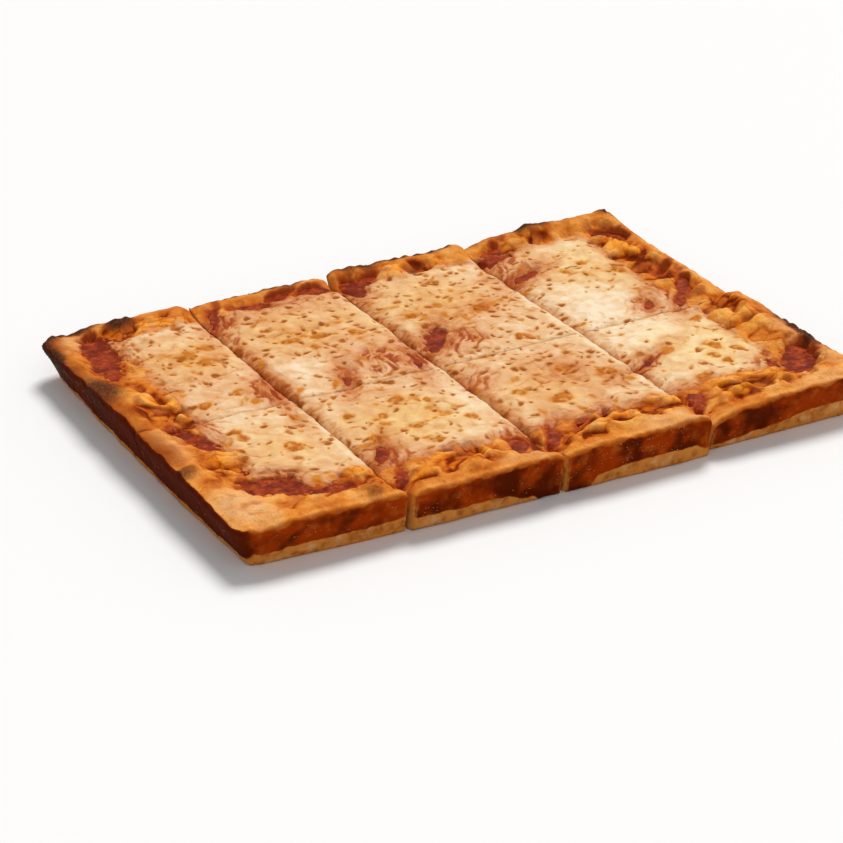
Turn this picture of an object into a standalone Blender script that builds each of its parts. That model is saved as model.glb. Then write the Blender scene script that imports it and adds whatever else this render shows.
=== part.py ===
"""Sicilian pizza, baked in a half sheet pan and cut into eight slices.

Each slice is a thick dough crust with a raised rim on its outer sides, a layer of
tomato sauce in the crust's pocket, and a layer of melted cheese on the sauce.
Plan positions are metres from the rim's front left corner, heights are metres
above the underside. The model's origin is the middle of the underside.
"""

import math
import random

import bmesh
import bpy

# Driving dimensions
LENGTH = 0.432  # rim to rim, left to right
WIDTH = 0.310  # rim to rim, front to back
EDGE_DROP = 0.0012  # the rim's outer edge lies this much under its crest
DOUGH_FLOOR = 0.0175  # dough under the sauce
SAUCE_TOP = 0.0210
CHEESE_TOP = 0.0242  # beside the rim and the cuts
LAYER_GAP = 0.0003

# Knife cuts: three across, one along the middle
CUTS_ACROSS = (0.107, 0.208, 0.3115)
CUT_TURN = -0.012  # the cuts across lean this much to the left per metre back
MIDDLE_CUT = 0.150
KERF = 0.0014  # gap in the middle of the pizza
KERF_AT_RIM = 0.0026  # the crust springs apart where it is thick
NOTCH = 0.0022  # how far each slice's corner is rounded back at the outer edge
NOTCH_REACH = 0.0045
CUT_ROLL = 0.0030  # how far the top rolls down into a cut
CUT_ROLL_WIDTH = 0.0055

# Some corner slices are set in: by how much at the front edge, and at the right edge
SET_BACK = {"front_1": 0.0035, "front_4": 0.0030}
SET_IN = {"back_4": 0.0040}

# The crust's width along each side, away from the pools of sauce
RIM_WIDTH = {"front": 0.047, "back": 0.024, "left": 0.042, "right": 0.036}
RIM_WAVE = 0.0030  # its inner edge wanders this much
CHEESE_CLEAR = 0.0032  # the cheese ends this far from the crust
# Pools of sauce: side, place along it, half length, and how far from the outer edge the
# crust ends and the cheese starts
SAUCE_POOLS = (
    ("left", 0.260, 0.034, 0.015, 0.036),
    ("left", 0.130, 0.018, 0.018, 0.036),
    ("left", 0.040, 0.040, 0.030, 0.036),
    ("front", 0.038, 0.022, 0.040, 0.066),
    ("front", 0.072, 0.013, 0.029, 0.041),
    ("front", 0.118, 0.010, 0.018, 0.032),
    ("front", 0.200, 0.014, 0.016, 0.042),
    ("front", 0.219, 0.010, 0.022, 0.036),
    ("front", 0.322, 0.011, 0.019, 0.034),
    ("front", 0.412, 0.022, 0.028, 0.062),
    ("back", 0.141, 0.015, 0.013, 0.028),
    ("back", 0.188, 0.020, 0.010, 0.023),
    ("back", 0.221, 0.017, 0.009, 0.034),
    ("back", 0.298, 0.010, 0.012, 0.016),
    ("back", 0.321, 0.012, 0.013, 0.038),
    ("right", 0.050, 0.030, 0.009, 0.028),
    ("right", 0.174, 0.018, 0.021, 0.046),
    ("right", 0.278, 0.015, 0.014, 0.031),
)

# Height of the rim's crest along each side: place, height. It jumps at some cuts.
RIM_HEIGHTS = {
    "front": (
        (0.000, 0.0275),
        (0.045, 0.0295),
        (0.106, 0.0285),
        (0.208, 0.0290),
        (0.3105, 0.0295),
        (0.3125, 0.0215),
        (0.335, 0.0275),
        (0.390, 0.0305),
        (0.432, 0.0300),
    ),
    "back": (
        (0.000, 0.0265),
        (0.022, 0.0235),
        (0.045, 0.0270),
        (0.106, 0.0275),
        (0.109, 0.0255),
        (0.206, 0.0265),
        (0.209, 0.0285),
        (0.309, 0.0290),
        (0.312, 0.0245),
        (0.335, 0.0290),
        (0.365, 0.0310),
        (0.432, 0.0305),
    ),
    "left": ((0.000, 0.0275), (0.090, 0.0285), (0.212, 0.0285), (0.265, 0.0255), (0.310, 0.0265)),
    "right": ((0.000, 0.0300), (0.149, 0.0295), (0.151, 0.0265), (0.250, 0.0270), (0.310, 0.0305)),
}
# How far the base is set in along each side, from the pan's sloping wall
BASE_INSETS = {
    "front": ((0.000, 0.0100), (0.107, 0.0050), (0.3105, 0.0020), (0.3125, 0.0060), (0.432, 0.0065)),
    "back": ((0.000, 0.0100), (0.432, 0.0100)),
    "left": ((0.000, 0.0100), (0.120, 0.0070), (0.200, 0.0070), (0.310, 0.0100)),
    "right": ((0.000, 0.0080), (0.310, 0.0100)),
}
INSET_REACH = 0.040  # the plan is squeezed this far in from each side

RIM_RISE = 0.0100  # the crest lies about this far in
POCKET_LIP = 0.0012  # the crust's inner edge stands this much over the sauce
RIM_RIPPLE = 0.0005
SIDE_BLEND = 0.012  # at a corner, the heights of its two sides blend over this length

# Blisters and folds of the rim: middle, radius and height
RIM_BLISTERS = (
    (0.056, 0.299, 0.010, 0.0036),
    (0.005, 0.212, 0.012, 0.0016),
    (0.012, 0.173, 0.016, 0.0026),
    (0.030, 0.170, 0.013, 0.0018),
    (0.008, 0.116, 0.013, 0.0018),
    (0.008, 0.086, 0.010, 0.0018),
    (0.022, 0.072, 0.012, 0.0020),
    (0.026, 0.022, 0.016, 0.0012),
    (0.088, 0.010, 0.011, 0.0018),
    (0.156, 0.022, 0.013, 0.0022),
    (0.186, 0.008, 0.014, 0.0012),
    (0.248, 0.026, 0.015, 0.0018),
    (0.284, 0.016, 0.016, 0.0014),
    (0.350, 0.028, 0.014, 0.0024),
    (0.366, 0.300, 0.012, 0.0026),
    (0.418, 0.126, 0.016, 0.0022),
    (0.412, 0.222, 0.014, 0.0018),
    (0.412, 0.170, 0.014, 0.0016),
    (0.246, 0.290, 0.012, 0.0016),
    (0.425, 0.303, 0.009, 0.0026),
)
# Blisters and low swells of the cheese: middle, radius and height
CHEESE_BLISTERS = (
    (0.070, 0.236, 0.012, 0.0012),
    (0.078, 0.092, 0.012, 0.0012),
    (0.160, 0.118, 0.011, 0.0011),
    (0.154, 0.082, 0.011, 0.0011),
    (0.140, 0.220, 0.012, 0.0010),
    (0.184, 0.220, 0.010, 0.0010),
    (0.250, 0.072, 0.012, 0.0012),
    (0.290, 0.094, 0.013, 0.0014),
    (0.268, 0.210, 0.012, 0.0012),
    (0.368, 0.090, 0.012, 0.0010),
    (0.382, 0.134, 0.011, 0.0010),
    (0.372, 0.236, 0.012, 0.0011),
    (0.334, 0.196, 0.016, 0.0014),
)
CHEESE_DOME = 0.0012  # the middle of each slice stands this much over its edges
DOME_REACH = 0.030
CHEESE_RIPPLE = 0.0004
CHEESE_ROLL = 0.75  # share of the cut's roll that the cheese takes
CHEESE_BORDER_DROP = 0.0011
CHEESE_EDGE = 0.0009  # its least thickness

# Finish of the three foods: colour, roughness
DOUGH_LOOK = ((0.62, 0.30, 0.09), 0.62)
SAUCE_LOOK = ((0.36, 0.035, 0.012), 0.30)
CHEESE_LOOK = ((0.86, 0.62, 0.30), 0.40)

# Mesh spacing
CRUST_STEP = 0.0085
CHEESE_STEP = 0.0056
RIM_LANES = (0.0, 0.10, 0.24, 0.45, 0.70, 0.97)  # shares of the rim's width
TYPICAL_RIM = 0.035
PLACING_ROUNDS = 4
CORNER_POWER = 4.0  # a higher power gives a squarer corner
CORNER_REACH = 0.022  # the corner's rounding starts this far in
WALL_LEVELS = (0.72, 0.36, 0.07, 0.0)  # rings of the crust's side, as shares of its height


def smooth(share):
    """A soft step from 0 to 1."""
    share = min(1.0, max(0.0, share))
    return share * share * (3.0 - 2.0 * share)


def rim_line(side, place):
    """Where the crust ends and where the cheese starts, as distances from a side's outer edge."""
    crust = RIM_WIDTH[side] + RIM_WAVE * ripple(place, len(side) * 0.1, 5)
    cheese = crust + CHEESE_CLEAR
    for pool_side, middle, half, crust_end, cheese_start in SAUCE_POOLS:
        if pool_side != side:
            continue
        inside = smooth(1.5 - abs(place - middle) / half)
        crust += (crust_end - crust) * inside
        cheese += (cheese_start - cheese) * inside
    return crust, cheese


def along(rows, place):
    """The value of a table at a place, eased between its rows."""
    if place <= rows[0][0]:
        return rows[0][1]
    for low, high in zip(rows, rows[1:]):
        if place <= high[0]:
            share = (place - low[0]) / (high[0] - low[0])
            return low[1] + (high[1] - low[1]) * smooth(share)
    return rows[-1][1]


def bumps(table, x, y):
    """Summed height of round swells at a plan position."""
    total = 0.0
    for middle_x, middle_y, radius, height in table:
        away = math.hypot(x - middle_x, y - middle_y) / radius
        if away < 1.6:
            total += height * math.exp(-1.8 * away * away)
    return total


def ripple(x, y, seed):
    """A gentle unevenness from -1 to 1, from a few seeded waves."""
    draw = random.Random(seed)
    total = 0.0
    for _ in range(5):
        turn = draw.uniform(0, math.tau)
        waves = draw.uniform(90, 260)
        total += math.sin((x * math.cos(turn) + y * math.sin(turn)) * waves + draw.uniform(0, math.tau))
    return total / 5


def rounded(x, y):
    """Moves a position of the square plan so that the pizza's corners are round."""
    away_x = x - LENGTH / 2
    away_y = y - WIDTH / 2
    over_x = abs(away_x) - (LENGTH / 2 - CORNER_REACH)
    over_y = abs(away_y) - (WIDTH / 2 - CORNER_REACH)
    if over_x <= 0 or over_y <= 0:
        return x, y
    ring = max(over_x, over_y)
    norm = (over_x**CORNER_POWER + over_y**CORNER_POWER) ** (1 / CORNER_POWER)
    over_x *= ring / norm
    over_y *= ring / norm
    x = LENGTH / 2 + math.copysign(LENGTH / 2 - CORNER_REACH + over_x, away_x)
    y = WIDTH / 2 + math.copysign(WIDTH / 2 - CORNER_REACH + over_y, away_y)
    return x, y


def pan_inset(x, y, level):
    """Pulls a position in towards the base, as the pan's sloping wall does."""
    left = along(BASE_INSETS["left"], y) * max(0.0, 1 - x / INSET_REACH)
    right = along(BASE_INSETS["right"], y) * max(0.0, 1 - (LENGTH - x) / INSET_REACH)
    front = along(BASE_INSETS["front"], x) * max(0.0, 1 - y / INSET_REACH)
    back = along(BASE_INSETS["back"], x) * max(0.0, 1 - (WIDTH - y) / INSET_REACH)
    return x + (left - right) * (1 - level), y + (front - back) * (1 - level)


class Slice:
    """One slice of the pizza: its place in the two rows of four."""

    def __init__(self, row, column):
        self.name = f"{row}_{column + 1}"
        self.front = row == "front"
        self.column = column
        self.left_is_rim = column == 0
        self.right_is_rim = column == len(CUTS_ACROSS)
        self.set_back = SET_BACK.get(self.name, 0.0)
        self.set_in = SET_IN.get(self.name, 0.0)

    def half_kerf(self, y):
        """Half of the cut's width, which grows towards the rim and ends in a notch."""
        to_rim = abs(y - WIDTH / 2) / (WIDTH / 2)
        half = (KERF + (KERF_AT_RIM - KERF) * smooth((to_rim - 0.55) / 0.4)) / 2
        return half + NOTCH * math.exp(-abs(y - self.outer()) / NOTCH_REACH)

    def left(self, y):
        if self.left_is_rim:
            return 0.0
        return CUTS_ACROSS[self.column - 1] + CUT_TURN * (y - MIDDLE_CUT) + self.half_kerf(y)

    def right(self, y):
        if self.right_is_rim:
            return LENGTH - self.set_in
        return CUTS_ACROSS[self.column] + CUT_TURN * (y - MIDDLE_CUT) - self.half_kerf(y)

    def middle(self, x):
        """The slice's edge along the middle cut."""
        to_rim = abs(x - LENGTH / 2) / (LENGTH / 2)
        gap = KERF + (KERF_AT_RIM - KERF) * smooth((to_rim - 0.7) / 0.25)
        return MIDDLE_CUT - gap / 2 if self.front else MIDDLE_CUT + gap / 2

    def outer(self):
        return self.set_back if self.front else WIDTH

    def to_cut(self, x, y):
        """Distance from the nearest cut."""
        gaps = [abs(y - self.middle(x))]
        if not self.left_is_rim:
            gaps.append(abs(x - self.left(y)))
        if not self.right_is_rim:
            gaps.append(abs(x - self.right(y)))
        return min(gaps)

    def roll(self, x, y):
        """How far the top has sunk beside the cuts."""
        return CUT_ROLL * math.exp(-((self.to_cut(x, y) / CUT_ROLL_WIDTH) ** 1.4))

    def rim_width(self, x, edge):
        """Where the crust ends (0) or the cheese starts (1) on the front or back side."""
        return rim_line("front" if self.front else "back", x)[edge]

    def side_width(self, y, edge):
        """The same on the left or right side."""
        return rim_line("left" if self.left_is_rim else "right", y)[edge]


def crest(x, y):
    """Height of the rim's crest, blended from the sides that are near."""
    sides = (("front", y, x), ("back", WIDTH - y, x), ("left", x, y), ("right", LENGTH - x, y))
    total = 0.0
    weight = 1e-9
    for side, away, place in sides:
        near = math.exp(-away / SIDE_BLEND)
        total += near * along(RIM_HEIGHTS[side], place)
        weight += near
    return total / weight


def from_outer(piece, x, y):
    """Distance from the outer edge and the rim's width there, for the side that is nearer its edge."""
    places = [(abs(y - piece.outer()), piece.rim_width(x, 0))]
    if piece.left_is_rim:
        places.append((x, piece.side_width(y, 0)))
    if piece.right_is_rim:
        places.append((piece.right(y) - x, piece.side_width(y, 0)))
    return min(places, key=lambda place: place[0] / place[1])


def crust_top(piece, x, y):
    """Height of the rim: it rises to a crest near the outer edge and falls to the pocket."""
    away, width = from_outer(piece, x, y)
    rise = smooth(away / RIM_RISE)
    fall = smooth((away - RIM_RISE) / max(width - RIM_RISE, 0.004))
    height = crest(x, y) - EDGE_DROP * (1 - rise)
    height += (SAUCE_TOP + POCKET_LIP - height) * fall
    height += bumps(RIM_BLISTERS, x, y) + RIM_RIPPLE * ripple(x, y, 3)
    return height - piece.roll(x, y)


class Plan:
    """A grid of points over one slice, whose rows follow the rim's uneven inner edge."""

    def __init__(self, piece, step, edge, clear=0.0, rim_lanes=()):
        self.piece = piece
        self.edge = edge  # the inner edge it follows: 0 the crust's, 1 the cheese's
        self.clear = clear
        self.rim_lanes = rim_lanes
        width = piece.right(MIDDLE_CUT) - piece.left(MIDDLE_CUT)
        depth = abs(piece.middle(LENGTH / 2) - piece.outer())
        self.across = self.lanes(width, step, piece.left_is_rim, piece.right_is_rim)
        self.inward = self.lanes(depth, step, True, False)

    def lanes(self, span, step, rim_at_low, rim_at_high):
        """Lanes of points across a span: some in each rim, and the field's between them."""
        rims = TYPICAL_RIM * (rim_at_low + rim_at_high)
        count = max(3, round((span - rims) / step))
        lanes = [("field", i / count) for i in range(count + 1)]
        if rim_at_low:
            lanes = [("low", share) for share in self.rim_lanes] + lanes
        if rim_at_high:
            lanes += [("high", share) for share in reversed(self.rim_lanes)]
        return lanes

    def position(self, i, j):
        """Plan position of the point where two lanes cross."""
        x = self.piece.left(MIDDLE_CUT)
        y = self.piece.outer()
        for _ in range(PLACING_ROUNDS):
            x = self.place_x(*self.across[i], y)
            y = self.place_y(*self.inward[j], x)
        return x, y

    def place_x(self, kind, share, y):
        piece = self.piece
        low, high = piece.left(y), piece.right(y)
        if piece.left_is_rim:
            low = piece.side_width(y, self.edge) + self.clear
        if piece.right_is_rim:
            high = LENGTH - piece.side_width(y, self.edge) - self.clear
        if kind == "low":
            return low * share
        if kind == "high":
            return piece.right(y) - (piece.right(y) - high) * share
        return low + (high - low) * share

    def place_y(self, kind, share, x):
        piece = self.piece
        inward = 1 if piece.front else -1
        base = 0.0 if piece.front else WIDTH
        edge = base + inward * (piece.rim_width(x, self.edge) + self.clear)
        if kind == "low":
            return piece.outer() + (edge - piece.outer()) * share
        return edge + (piece.middle(x) - edge) * share

    def in_rim(self, i, j):
        return self.across[i][0] != "field" or self.inward[j][0] != "field"

    def on_border(self, i, j):
        return i in (0, len(self.across) - 1) or j in (0, len(self.inward) - 1)


def new_grid(plan):
    """A flat grid mesh with one point for each crossing of the plan's lanes."""
    mesh = bmesh.new()
    columns, rows = len(plan.across), len(plan.inward)
    bmesh.ops.create_grid(mesh, x_segments=columns - 1, y_segments=rows - 1, size=0.5)
    index = {}
    for vert in mesh.verts:
        i = round((vert.co.x + 0.5) * (columns - 1))
        j = round((vert.co.y + 0.5) * (rows - 1))
        index[vert] = (i, j)
    return mesh, index


def close_block(mesh, index, levels, lower):
    """Extrudes the grid's border down through the levels and closes the underside."""
    top = dict(index)
    for level in levels:
        border = [edge for edge in mesh.edges if edge.is_boundary]
        made = bmesh.ops.extrude_edge_only(mesh, edges=border)["geom"]
        old = {vert for edge in border for vert in edge.verts}
        fresh = [item for item in made if isinstance(item, bmesh.types.BMVert)]
        above = {}
        for vert in fresh:
            for edge in vert.link_edges:
                other = edge.other_vert(vert)
                if other in old:
                    above[vert] = other
        for vert, source in above.items():
            top[vert] = top[source]
            lower(vert, top[vert], level)
    border = [edge for edge in mesh.edges if edge.is_boundary]
    bmesh.ops.edgeloop_fill(mesh, edges=border)


def finish(mesh, name, material, collection):
    """Turns the bmesh into a named object in its collection, with its faces pointing out."""
    bmesh.ops.recalc_face_normals(mesh, faces=mesh.faces)
    if mesh.calc_volume(signed=True) < 0:
        bmesh.ops.reverse_faces(mesh, faces=mesh.faces)
    data = bpy.data.meshes.new(name)
    mesh.to_mesh(data)
    mesh.free()
    data.materials.append(material)
    data.shade_smooth()
    data.set_sharp_from_angle(angle=math.radians(50))
    made = bpy.data.objects.new(name, data)
    collection.objects.link(made)
    return made


def centred(x, y, z):
    return x - LENGTH / 2, y - WIDTH / 2, z


def make_crust(piece, material, collection):
    """Thick dough with a pocket for the sauce and a raised rim on the outer sides."""
    plan = Plan(piece, CRUST_STEP, 0, rim_lanes=RIM_LANES)
    mesh, index = new_grid(plan)
    places = {}
    for vert, key in index.items():
        x, y = plan.position(*key)
        height = crust_top(piece, x, y) if plan.in_rim(*key) else DOUGH_FLOOR
        places[key] = (x, y, height)
        vert.co = centred(*rounded(x, y), height)

    def lower(vert, key, level):
        x, y, height = places[key]
        vert.co = centred(*rounded(*pan_inset(x, y, level)), height * level)

    close_block(mesh, index, WALL_LEVELS, lower)
    return finish(mesh, f"crust_{piece.name}", material, collection)


def make_layer(name, plan, top, bottom, material, collection):
    """A layer of food in the pocket, between a top height and a flat underside."""
    mesh, index = new_grid(plan)
    places = {}
    for vert, key in index.items():
        x, y = plan.position(*key)
        places[key] = (x, y)
        vert.co = centred(*rounded(x, y), top(x, y, plan.on_border(*key)))

    def lower(vert, key, level):
        vert.co = centred(*rounded(*places[key]), bottom)

    close_block(mesh, index, (0.0,), lower)
    return finish(mesh, name, material, collection)


def make_sauce(piece, material, collection):
    """Tomato sauce, which fills the crust's pocket and shows past the cheese as pools."""
    plan = Plan(piece, CRUST_STEP, 0, clear=2 * LAYER_GAP)

    def top(x, y, border):
        return SAUCE_TOP

    return make_layer(f"sauce_{piece.name}", plan, top, DOUGH_FLOOR + LAYER_GAP, material, collection)


def make_cheese(piece, material, collection):
    """Melted cheese with a rounded border, blisters, and edges that roll into the cuts."""
    plan = Plan(piece, CHEESE_STEP, 1)
    bottom = SAUCE_TOP + LAYER_GAP

    def top(x, y, border):
        swell = smooth(piece.to_cut(x, y) / DOME_REACH)
        height = CHEESE_TOP + CHEESE_DOME * swell + bumps(CHEESE_BLISTERS, x, y)
        height += CHEESE_RIPPLE * ripple(x, y, 8) - CHEESE_ROLL * piece.roll(x, y)
        height -= CHEESE_BORDER_DROP if border else 0.0
        return max(height, bottom + CHEESE_EDGE)

    return make_layer(f"cheese_{piece.name}", plan, top, bottom, material, collection)


def food_material(name, colour, roughness):
    material = bpy.data.materials.new(name)
    material.use_nodes = True
    shader = material.node_tree.nodes["Principled BSDF"]
    shader.inputs["Base Color"].default_value = (*colour, 1.0)
    shader.inputs["Roughness"].default_value = roughness
    shader.inputs["Metallic"].default_value = 0.0
    return material


def main():
    for old in list(bpy.data.objects):
        bpy.data.objects.remove(old, do_unlink=True)
    pizza = bpy.data.collections.new("sicilian_pizza")
    bpy.context.scene.collection.children.link(pizza)
    dough = food_material("dough", *DOUGH_LOOK)
    sauce = food_material("tomato_sauce", *SAUCE_LOOK)
    cheese = food_material("melted_cheese", *CHEESE_LOOK)
    for row in ("front", "back"):
        for column in range(len(CUTS_ACROSS) + 1):
            piece = Slice(row, column)
            make_crust(piece, dough, pizza)
            make_sauce(piece, sauce, pizza)
            make_cheese(piece, cheese, pizza)


main()
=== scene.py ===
import math

import bpy
import numpy as np
from mathutils import Euler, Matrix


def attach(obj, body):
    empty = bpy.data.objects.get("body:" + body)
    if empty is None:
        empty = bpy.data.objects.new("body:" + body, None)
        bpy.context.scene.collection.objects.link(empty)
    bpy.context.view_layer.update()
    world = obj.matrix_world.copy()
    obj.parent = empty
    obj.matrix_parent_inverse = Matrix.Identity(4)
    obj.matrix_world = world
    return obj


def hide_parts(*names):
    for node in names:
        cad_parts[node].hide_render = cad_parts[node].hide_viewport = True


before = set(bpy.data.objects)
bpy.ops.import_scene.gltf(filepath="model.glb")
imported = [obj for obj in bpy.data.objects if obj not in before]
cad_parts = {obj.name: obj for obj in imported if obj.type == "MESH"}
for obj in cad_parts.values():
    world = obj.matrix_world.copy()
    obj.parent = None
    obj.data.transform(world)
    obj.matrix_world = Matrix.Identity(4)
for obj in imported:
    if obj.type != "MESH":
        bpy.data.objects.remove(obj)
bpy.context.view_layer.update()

# The looks of a Sicilian pizza in eight slices: baked crust, tomato sauce and melted cheese.
# Plan positions run from the rim's front left corner, and heights from the floor, both in metres.
# Heights and colours are worked out on one fine plan, and every slice's pieces read them.
# Tables of places are in millimetres, and metres() turns them into metres.

def metres(rows, lengths=4):
    """Rows of a table in metres, where their first numbers are millimetres."""
    return [tuple(value / 1000 for value in row[:lengths]) + row[lengths:] for row in rows]


# Sizes of the pizza, as in its solids
LENGTH = 0.432
WIDTH = 0.31
DOUGH_FLOOR = 0.0175
SAUCE_TOP = 0.021
CHEESE_TOP = 0.0242
CUTS_ACROSS = (0.107, 0.208, 0.3115)
CUT_TURN = -0.012
MIDDLE_CUT = 0.15
KERF = 0.0004
KERF_AT_RIM = 0.0012
NOTCH = 0.0018
NOTCH_REACH = 0.0035
CUT_ROLL = 0.0046  # the tops roll down this far into the cuts across
CUT_ROLL_WIDTH = 0.0095
MIDDLE_ROLL = 0.0024
MIDDLE_ROLL_WIDTH = 0.005
SET_BACK = {"front_1": 0.0035, "front_4": 0.003}
SET_IN = {"back_4": 0.004}
CORNER_POWER = 2.9
CORNER_REACH = 0.022

# The crust's width along each side, away from the pools of sauce
RIM_WIDTH = {"front": 0.046, "back": 0.024, "left": 0.042, "right": 0.036}
CHEESE_OVERLAP = 0.0025  # away from the pools the cheese runs this far onto the crust
RIM_RISE = 0.01
POCKET_LIP = 0.0016
POOL_RISE = 0.0012  # the sauce wells up this far where it shows
TALLEST = 0.0326
LUMP_SIZE = 0.0175
LUMP_HEIGHT = 0.0048
SMALL_LUMP_SIZE = 0.009
SMALL_LUMP_HEIGHT = 0.0008
EDGE_DROP = 0.0012
EDGE_ROUND = 0.0028
SIDE_BLEND = 0.012
# Pools of sauce at each side: place, half length, where the crust ends, where the cheese starts
SAUCE_POOLS = {
    "left": metres(((260, 34, 15, 35), (129, 18, 19, 35), (40, 40, 30, 36))),
    "front": metres((
        (40, 19, 37, 64), (73, 13, 27, 38), (117, 8, 16, 26), (200, 12, 16, 38), (217, 7, 20, 32),
        (322, 9, 17, 32), (412, 19, 26, 62),
    )),
    "back": metres((
        (140, 16, 12, 26), (163, 14, 8, 15), (189, 17, 10, 23), (223, 14, 9, 33), (322, 10, 13, 40),
    )),
    "right": metres(((50, 24, 10, 34), (174, 18, 14, 36), (281, 12, 11, 27))),
}
# Outlines of the sauce that shows: middle, half length, half width, turn in degrees
POOLS = metres((
    (29, 266, 34, 10, 81), (30, 134, 20, 6.8, 108), (48, 55, 20, 11.5, -38), (75, 36, 13, 6, 4),
    (120, 62, 12, 4, 58), (114, 27, 11, 3.2, 64), (195, 33, 11, 5.2, 78), (205, 34, 12, 3, 84),
    (219, 32, 14, 3.6, 62), (244, 41, 8, 2.6, 35), (263, 46, 6, 2, 70), (320, 27, 13, 3.6, 52),
    (409, 50, 23, 10.5, 52), (324, 93, 11, 2.2, 26), (145, 290, 13, 4.8, -12), (168, 298, 12, 3.6, 25),
    (191, 295, 14, 5.2, -8), (217, 285, 15, 6.2, 84), (229, 292, 12, 5, 42), (115, 286, 14, 3, 66),
    (324, 287, 18, 4, 55), (328, 246, 14, 4, 26), (411, 283, 9, 6.8, -25), (419, 275, 8, 5, 70),
    (413, 213, 8.5, 3.2, 32), (411, 184, 17, 3.8, 66), (398, 168, 17, 3, 56), (372, 166, 7, 3.4, 62),
    (224, 186, 19, 6.6, 58), (103, 166, 10, 1.4, 82), (199, 168, 10, 1.8, 78), (147, 160, 7, 1.8, 72),
))
# Zones where sauce streaks the cheese: middle, half length, half width, direction, strength
STREAKED = metres((
    (97, 172, 22, 11, 70, 0.75), (150, 164, 14, 7, 70, 0.55), (178, 174, 20, 15, 74, 0.9),
    (200, 170, 20, 7, 78, 0.85), (238, 174, 24, 17, 60, 0.7), (322, 264, 40, 12, 64, 0.6),
    (404, 182, 34, 16, 60, 0.8), (116, 278, 32, 11, 66, 0.75), (113, 250, 16, 6, 70, 0.6),
    (165, 286, 34, 12, 10, 0.55), (218, 118, 22, 11, 40, 0.55), (119, 46, 34, 11, 60, 0.7),
    (196, 36, 22, 14, 76, 0.8), (224, 36, 24, 12, 60, 0.8), (326, 34, 26, 14, 50, 0.75),
    (330, 94, 20, 7, 26, 0.7), (366, 168, 12, 9, 60, 0.6), (392, 52, 22, 14, 45, 0.6),
    (270, 108, 20, 20, 80, 0.35), (42, 142, 20, 10, 105, 0.65), (42, 262, 36, 10, 84, 0.55),
    (56, 64, 22, 10, -35, 0.55), (406, 262, 26, 14, 60, 0.6),
))
# The rim's height along each side, and how far the pan's slope sets the base in
RIM_HEIGHTS = {
    "front": metres((
        (0, 27.5), (45, 29.5), (106, 28.5), (208, 29), (310.5, 29.5), (312.5, 21.5), (335, 27.5),
        (390, 30.5), (432, 30),
    )),
    "back": metres((
        (0, 26.5), (22, 23.5), (45, 27), (106, 27.5), (109, 25.5), (206, 26.5), (209, 28.5), (309, 29),
        (312, 24.5), (335, 29), (365, 31), (432, 30.5),
    )),
    "left": metres(((0, 27.5), (90, 28.5), (212, 28.5), (265, 25.5), (310, 26.5))),
    "right": metres(((0, 30), (149, 29.5), (151, 26.5), (250, 27), (310, 30.5))),
}
BASE_INSETS = {
    "front": metres(((0, 10), (107, 5), (310.5, 2), (312.5, 6), (432, 6.5))),
    "back": metres(((0, 10), (432, 10))),
    "left": metres(((0, 10), (120, 7), (200, 7), (310, 10))),
    "right": metres(((0, 8), (310, 10))),
}
INSET_REACH = 0.04
# Blisters and folds of the rim: middle, radius and height
RIM_BLISTERS = metres((
    (56, 299, 10, 3.6), (5, 212, 12, 1.6), (12, 173, 16, 2.6), (30, 170, 13, 1.8), (8, 116, 13, 1.8),
    (8, 86, 10, 1.8), (22, 72, 12, 2), (26, 22, 16, 1.2), (88, 10, 11, 1.8), (156, 22, 13, 2.2),
    (186, 8, 14, 1.2), (248, 26, 15, 1.8), (284, 16, 16, 1.4), (350, 28, 14, 2.4), (366, 300, 12, 2.6),
    (418, 126, 16, 2.2), (412, 222, 14, 1.8), (412, 170, 14, 1.6), (246, 290, 12, 1.6),
    (425, 303, 9, 2.6),
))
# Top of the pale band at the foot of the crust's side: place, height
PALE_BAND = {
    "front": metres((
        (0, 9), (50, 9.5), (100, 10), (130, 9.5), (170, 8.5), (188, 4), (197, -2), (224, -2), (234, 7),
        (262, 10.5), (300, 10.5), (311, 6), (314, 4), (360, 7.5), (390, 12.5), (432, 13),
    )),
    "back": metres(((0, 6), (200, 10), (432, 8))),
    "left": metres(((0, 6), (80, 5.5), (310, 5.5))),
    "right": metres(((0, 12), (150, 8), (310, 9))),
}
# Painted shade on the crust: the left side and the rim's top near it darkest, the back side less
SIDE_SHADE = {"back": 0.6, "left": 1.0}
SHADE_REACH = 0.012
# Patches of finish on the plan: middle, half length, half width, turn in degrees, strength
TOASTED = metres((
    (66, 284, 26, 18, -10, 0.8), (30, 172, 13, 26, 0, 0.85), (84, 286, 12, 18, 20, 0.45),
    (50, 210, 7, 4, 10, 0.75), (265, 285, 24, 16, 0, 0.55), (243, 270, 5, 4, 0, 0.8),
    (408, 226, 15, 52, 8, 0.65), (236, 167, 10, 8, 30, 0.7), (274, 162, 6, 7, 70, 0.75),
    (122, 166, 4, 8, -20, 0.7), (298, 172, 4, 8, -20, 0.6), (37, 90, 12, 20, 0, 0.6),
    (92, 32, 13, 20, 0, 0.65), (128, 20, 16, 7, 8, 0.85), (160, 34, 16, 18, 0, 0.7),
    (250, 25, 30, 16, 8, 0.75), (290, 32, 22, 14, 0, 0.5), (286, 78, 12, 18, 10, 0.35),
    (360, 30, 26, 19, 0, 0.75), (412, 124, 20, 24, 0, 0.8), (346, 296, 26, 10, 0, 0.45),
))
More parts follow.
